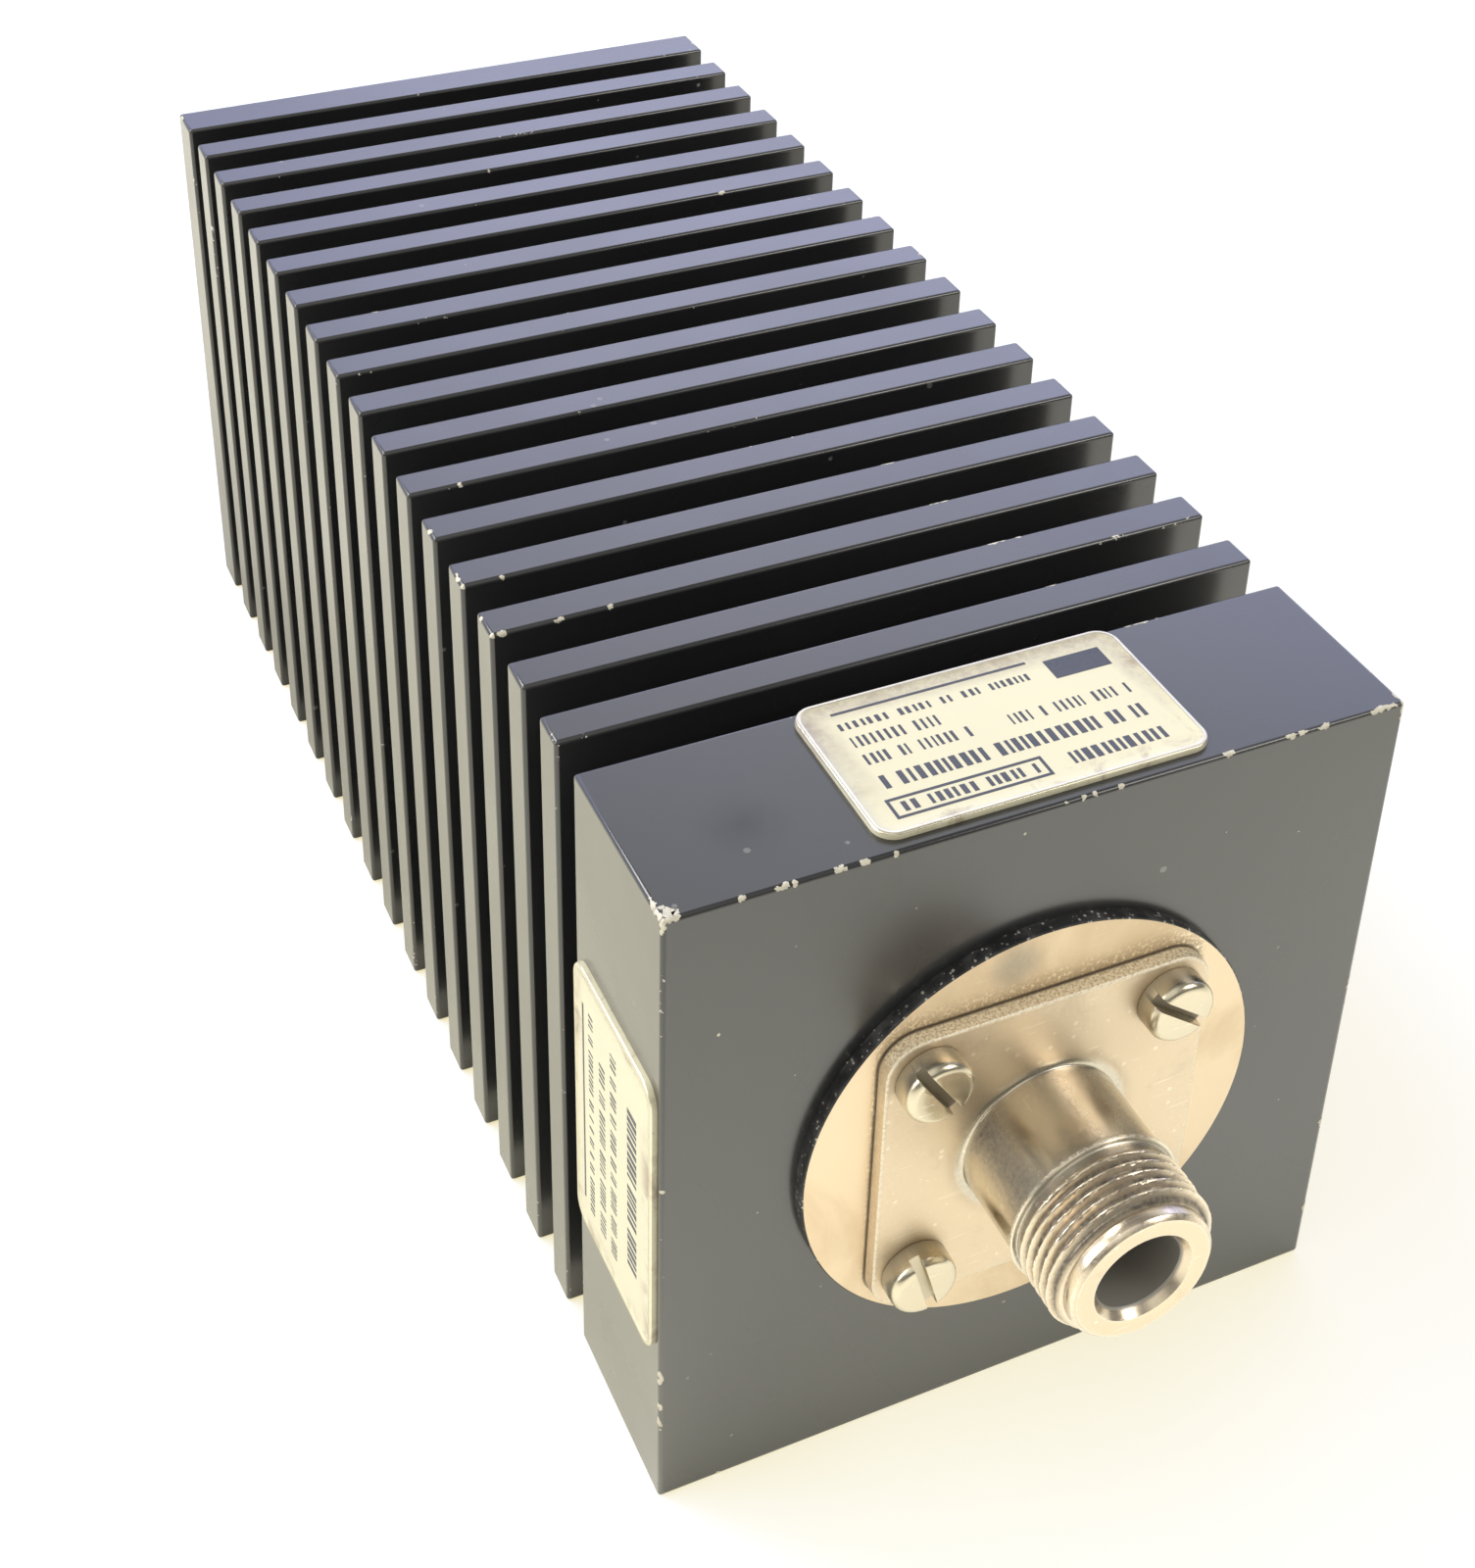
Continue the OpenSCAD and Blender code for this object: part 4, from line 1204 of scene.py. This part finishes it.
def makePlate(name, width, height, thick, toWorld, node, finish, backShadow):
    shape = plateShape
    bm = bmesh.new()
    layer = bm.verts.layers.float.new("edgeWear")
    stain = bm.verts.layers.float.new("backShadow")
    soft = shape["edgeRound"]
    steps = [(0, 0, 0.5), (0, thick - soft, 0.7)]
    for k in range(1, 4):
        turn = math.pi / 2 * k / 3
        steps.append((soft * (1 - math.cos(turn)), thick - soft * (1 - math.sin(turn)), 1.0))
    rim, low = shape["rim"], thick - shape["recess"]
    steps += [(rim, thick, 0.85), (rim + shape["rimStep"], low, 0.6), (rim + shape["rimFade"], low, 0.35),
              (shape["wearBand"], low, 0.0)]
    rows = []
    for inset, lift, worn in steps:
        corner = max(shape["corner"] - inset, shape["leastCorner"])
        rows.append(plateRow(width - 2 * inset, height - 2 * inset, corner, lift))
    loops = ringGrid(bm, [[toWorld @ p for p in row] for row in rows])
    for loop, row, (inset, lift, worn) in zip(loops, rows, steps):
        for v, p in zip(loop, row):
            v[layer] = worn
            # the back edge's band carries the painted shadow
            v[stain] = backShadow if p.y > height / 2 - shape["stainBand"] else 0.0
    bm.faces.new(loops[0])
    bm.faces.new(loops[-1])
    return place(toObject(name, bm, 40), finish, "plate_face", node)


# generic print: plain rules, fields and short dashes, as middle u, middle v, width, height in millimetres

namePrint = {
    "lift": 0.02 * mm,
    "bars": [(10.6, 5.2, 5.6, 2.6), (-3.2, 6.9, 19.0, 0.3)],
    "frames": [(-6.2, -5.9, 14.6, 2.5)],
    "frameLine": 0.3,
    # middle v, height, start, end, shortest and longest stroke
    "strokeRows": [(-5.9, 1.2, -12.4, 0.2, 0.3, 0.55), (-5.9, 1.5, 3.4, 12.8, 0.3, 0.65),
                   (-2.6, 1.7, -12.6, 12.9, 0.3, 0.65), (0.5, 1.35, -12.6, -2.4, 0.16, 0.32),
                   (0.5, 1.35, 1.2, 12.9, 0.16, 0.32), (2.9, 1.35, -12.6, -3.6, 0.16, 0.32),
                   (5.1, 0.9, -12.8, 6.0, 0.2, 0.4)],
}
sidePrint = {
    "lift": 0.02 * mm,
    "bars": [(0.0, 6.6, 24.0, 0.3)],
    "frames": [],
    "frameLine": 0.3,
    "strokeRows": [(-4.6, 2.0, -9.6, 9.8, 0.3, 0.6), (-0.4, 1.3, -12.4, 12.4, 0.16, 0.34),
                   (2.2, 1.3, -12.4, 9.0, 0.16, 0.34), (4.8, 1.0, -12.4, 12.0, 0.16, 0.32)],
}


def addBar(bm, toWorld, u, v, width, height, base, lift):
    corners = [(-1, -1), (1, -1), (1, 1), (-1, 1)]
    rings = []
    for level in (base - lift, base + lift):
        rings.append([toWorld @ Vector(((u + sx * width / 2) * mm, (v + sy * height / 2) * mm, level))
                      for sx, sy in corners])
    loops = ringGrid(bm, rings)
    bm.faces.new(loops[0])
    bm.faces.new(loops[-1])


def makePrint(name, layout, toWorld, thick, finish, seed):
    rng = random.Random(seed)
    base = thick - plateShape["recess"]
    bm = bmesh.new()
    bars = list(layout["bars"])
    line = layout["frameLine"]
    for u, v, width, height in layout["frames"]:
        for sign in (-1, 1):
            bars.append((u, v + sign * (height - line) / 2, width, line))
            bars.append((u + sign * (width - line) / 2, v, line, height - 2 * line))
    for v, height, u, end, shortest, longest in layout["strokeRows"]:
        while u < end - shortest:
            width = min(rng.uniform(shortest, longest), end - u)
            bars.append((u + width / 2, v, width, height))
            u += width + rng.choice((0.3, 0.3, 0.4, 0.4, 1.1))
    for bar in bars:
        addBar(bm, toWorld, *bar, base, layout["lift"])
    return place(toObject(name, bm), finish, "plate_face")


# inner pieces keep their CAD shapes and get their own finishes

def dressInnerPieces():
    rubber = mouldedFinish("blackRubber", (0.012, 0.012, 0.013, 1), (0.03, 0.03, 0.031, 1), 0.55, 0.75)
    insulator = mouldedFinish("whiteInsulator", (0.78, 0.77, 0.72, 1), (0.9, 0.89, 0.85, 1), 0.4, 0.55)
    ceramic = mouldedFinish("filmCeramic", (0.62, 0.59, 0.52, 1), (0.8, 0.77, 0.69, 1), 0.45, 0.65)
    silver = turnedMetalFinish(
        "silveredBrass", (0.74, 0.73, 0.69, 1), (0.88, 0.87, 0.84, 1), (0.5, 0.46, 0.38, 1))
    brass = turnedMetalFinish("bareBrass", (0.68, 0.5, 0.24, 1), (0.82, 0.65, 0.36, 1), (0.45, 0.31, 0.16, 1))
    copper = turnedMetalFinish("bareCopper", (0.6, 0.33, 0.2, 1), (0.76, 0.46, 0.31, 1), (0.36, 0.2, 0.13, 1))
    finishes = {
        "flange_seal_ring": rubber, "bead_seal_ring": rubber,
        "seal_bead": insulator, "connector_insulator": insulator,
        "line_conductor": silver, "resistor_input_cap": silver, "resistor_ground_cap": silver,
        "taper_housing": brass, "ground_plug": copper, "connector_contact": copper,
        "resistor_tube": ceramic,
    }
    for name, finish in finishes.items():
        mesh = nodes[name].data
        mesh.materials.clear()
        mesh.materials.append(finish)


# build

makeRadiator()
print("radiator ready")
makeChips()
print("paint chips ready")
makeDisc()
makeSocket()
makeScrews()
print("disc, socket and screws ready")
creamPlate, slateInk = plateFinish(), inkFinish()
labelThick = nameHigh.z - nameLow.z
nameMiddle = (nameLow + nameHigh) / 2
sideMiddle = (sideLow + sideHigh) / 2
nameTurn = Matrix.Translation((nameMiddle.x, nameMiddle.y, nameLow.z))
sideTurn = Matrix.Translation((sideHigh.x, sideMiddle.y, sideMiddle.z)) @ Matrix((
    (0, 0, -1, 0), (0, 1, 0, 0), (1, 0, 0, 0), (0, 0, 0, 1)))
labelLength, labelWidth = nameHigh.x - nameLow.x, nameHigh.y - nameLow.y
makePlate("nameplateCream", labelLength, labelWidth, labelThick, nameTurn, "nameplate", creamPlate, 0.7)
makePlate("sidePlateCream", labelLength, labelWidth, labelThick, sideTurn, "side_plate", creamPlate, 0.1)
makePrint("nameplatePrint", namePrint, nameTurn, labelThick, slateInk, 5)
makePrint("sidePlatePrint", sidePrint, sideTurn, labelThick, slateInk, 9)
print("plates ready")
dressInnerPieces()
print("inner pieces ready")


# floor, light and camera

studio = {
    "floorSize": 8.0,
    "floorGlow": (0.8, 0.69, 0.36, 1),
    "floorShade": (0.25, 0.37, 0.72, 1),
    # floor as the paint and the metal mirror it: painted reflections, brighter in front than beside the part,
    # darker further off, with a painted shadow near the part's left rear
    "mirrorFront": (0.69, 0.695, 0.65, 1),
    "mirrorSide": (0.345, 0.328, 0.235, 1),
    "mirrorShadowNear": (0.1, 0.095, 0.07, 1),
    "mirrorLit": (0.76, 0.74, 0.62, 1),
    "mirrorShade": (0.58, 0.56, 0.47, 1),
    "floorReach": (0.08, 0.3),
    "floorFar": (0.2, 0.2, 0.18, 1),
    "floorBounce": (0.8, 0.78, 0.72, 1),
    "skyStrength": 2.1,
    # where the mirrored floor changes, in metres along and across the part
    "mirrorTurn": (-0.09, -0.05),
    "nearAcross": (-0.056, -0.037),
    "nearAlong": (-0.03, 0.08),
    "nearStart": (-0.075, -0.065),
    # height above the horizon and colour
    "skyBack": [
        (0.0, (0.62, 0.63, 0.7, 1)), (0.37, (0.42, 0.45, 0.64, 1)), (0.43, (0.92, 0.95, 1.36, 1)),
        (0.475, (1.1, 1.11, 1.58, 1)), (0.54, (1.0, 1.03, 1.36, 1)), (0.6, (0.6, 0.615, 0.655, 1)),
        (0.72, (0.57, 0.57, 0.515, 1)), (0.86, (0.14, 0.14, 0.14, 1)),
    ],
    # where one part of the sky passes into the next, on its own axes
    "skyRight": (0.4, 0.6),
    "skyLeft": (0.18, 0.28),
    "skyAhead": (-0.15, 0.2),
    "skyRise": (0.3, 0.6),
    "skyBehind": (-0.1, 0.35),
    "skyRightTint": (0.84, 0.87, 0.97, 1),
    "skyLeftTint": (0.66, 0.67, 0.7, 1),
    "skyFrontLow": (0.08, 0.08, 0.077, 1),
    "skyFrontLeft": (0.45, 0.44, 0.4, 1),
    "skyFrontRight": (0.13, 0.13, 0.125, 1),
}


def makeFloor():
    bm = bmesh.new()
    bmesh.ops.create_grid(bm, x_segments=8, y_segments=8, size=studio["floorSize"] / 2)
    floor = toObject("studioFloor", bm)
    material = bpy.data.materials.new("paleFloor")
    tree = emptyTree(material)
    path = put(tree, "LightPath").outputs
    mirrored = math2(tree, "MAXIMUM", path["Is Glossy Ray"], path["Is Transmission Ray"])
    bounce = put(tree, "BsdfDiffuse", {"Color": studio["floorBounce"]}).outputs[0]
    shade = put(tree, "BsdfDiffuse", {"Color": studio["floorShade"]}).outputs[0]
    away = vectorLength(tree, objectPoint(tree))
    spots = put(tree, "SeparateXYZ", {"Vector": objectPoint(tree)}).outputs
    side = ramp(tree, spots["Y"], *studio["mirrorTurn"])
    pool = blend(tree, side, studio["mirrorFront"], studio["mirrorSide"])
    # painted shadow in the mirrored floor near the part's left rear
    further = ramp(tree, spots["Y"], *studio["nearAlong"], 0.3, 1.0)
    nearShadow = times(tree, ramp(tree, spots["X"], *studio["nearAcross"]), further)
    nearShadow = times(tree, nearShadow, ramp(tree, spots["Y"], *studio["nearStart"]))
    pool = blend(tree, nearShadow, pool, studio["mirrorShadowNear"])
    pool = blend(tree, ramp(tree, away, *studio["floorReach"]), pool, studio["floorFar"])
    glow = put(tree, "Emission", {"Color": studio["floorGlow"], "Strength": 1.0}).outputs[0]
    mirror = put(tree, "Emission", {"Color": pool, "Strength": 1.0}).outputs[0]
    lit = blend(tree, nearShadow, studio["mirrorLit"], studio["mirrorShade"])
    sheen = put(tree, "BsdfDiffuse", {"Color": lit}).outputs[0]
    mirror = put(tree, "AddShader", {0: mirror, 1: sheen}).outputs[0]
    seen = put(tree, "AddShader", {0: shade, 1: glow}).outputs[0]
    both = put(tree, "MixShader", {0: mirrored, 1: bounce, 2: mirror}).outputs[0]
    shown = put(tree, "MixShader", {0: path["Is Camera Ray"], 1: both, 2: seen}).outputs[0]
    put(tree, "OutputMaterial", {"Surface": shown})
    floor.data.materials.append(material)


def makeSky():
    world = bpy.data.worlds.new("softSky")
    bpy.context.scene.world = world
    tree = emptyTree(world)
    path = put(tree, "LightPath").outputs
    way = put(tree, "SeparateXYZ", {"Vector": put(tree, "TexCoord").outputs["Generated"]}).outputs
    band = put(tree, "ValToRGB", {"Fac": way["Z"]})
    stops = band.color_ramp.elements
    while len(stops) < len(studio["skyBack"]):
        stops.new(1.0)
    for stop, (height, colour) in zip(stops, studio["skyBack"]):
        stop.position = height
        stop.color = colour
    right = ramp(tree, way["X"], *studio["skyRight"])
    behind = blend(tree, right, band.outputs["Color"], studio["skyRightTint"], "MULTIPLY")
    toLeft = ramp(tree, way["X"], *studio["skyLeft"], 1.0, 0.0)
    behind = blend(tree, toLeft, behind, studio["skyLeftTint"], "MULTIPLY")
    toRight = ramp(tree, way["X"], *studio["skyAhead"])
    ahead = blend(tree, toRight, studio["skyFrontLeft"], studio["skyFrontRight"])
    ahead = blend(tree, ramp(tree, way["Z"], *studio["skyRise"]), studio["skyFrontLow"], ahead)
    sky = blend(tree, ramp(tree, way["Y"], *studio["skyBehind"]), ahead, behind)
    soft = put(tree, "Background", {"Color": sky, "Strength": studio["skyStrength"]}).outputs[0]
    white = put(tree, "Background", {"Color": (1, 1, 1, 1), "Strength": 1.0}).outputs[0]
    shown = put(tree, "MixShader", {0: path["Is Camera Ray"], 1: soft, 2: white}).outputs[0]
    put(tree, "OutputWorld", {"Surface": shown})


lamps = {
    "backSoft": {"at": (-0.45, 0.5, 0.9), "to": (0, -0.03, 0.03), "size": (0.4, 0.4), "watts": 5.0,
                 "tint": (1, 0.98, 0.95)},
    "frontRight": {"at": (0.69, -0.65, 0.763), "to": (0, -0.075, 0.05), "size": (0.5, 0.5), "watts": 4.0,
                   "tint": (1, 0.96, 0.9)},
    "leftSoft": {"at": (-0.8, 0.05, 0.45), "to": (0, -0.03, 0.03), "size": (0.6, 0.6), "watts": 4.0,
                 "tint": (1, 0.96, 0.88)},
}


def makeLamps():
    for name, lamp in lamps.items():
        data = bpy.data.lights.new(name, "AREA")
        data.shape = "RECTANGLE"
        data.size, data.size_y = lamp["size"]
        data.energy = lamp["watts"]
        data.color = lamp["tint"]
        light = linked(name, data)
        light.location = lamp["at"]
        light.rotation_euler = (Vector(lamp["to"]) - Vector(lamp["at"])).to_track_quat("-Z", "Y").to_euler()


viewpoint = {
    "at": (-0.08975, -0.19939, 0.20213),
    "turn": (59.471, -1.1351, -24.1653),
    "lens": 56.668,
    "shiftY": -0.2642,
}


def makeCamera():
    data = bpy.data.cameras.new("photoCamera")
    data.lens = viewpoint["lens"]
    data.sensor_width = 36.0
    data.shift_y = viewpoint["shiftY"]
    data.clip_start = 0.005
    camera = linked("photoCamera", data)
    camera.location = viewpoint["at"]
    camera.rotation_euler = [math.radians(d) for d in viewpoint["turn"]]
    bpy.context.scene.camera = camera


makeFloor()
makeSky()
makeLamps()
makeCamera()
bpy.context.scene.view_settings.view_transform = "Standard"
print("floor, light and camera ready")
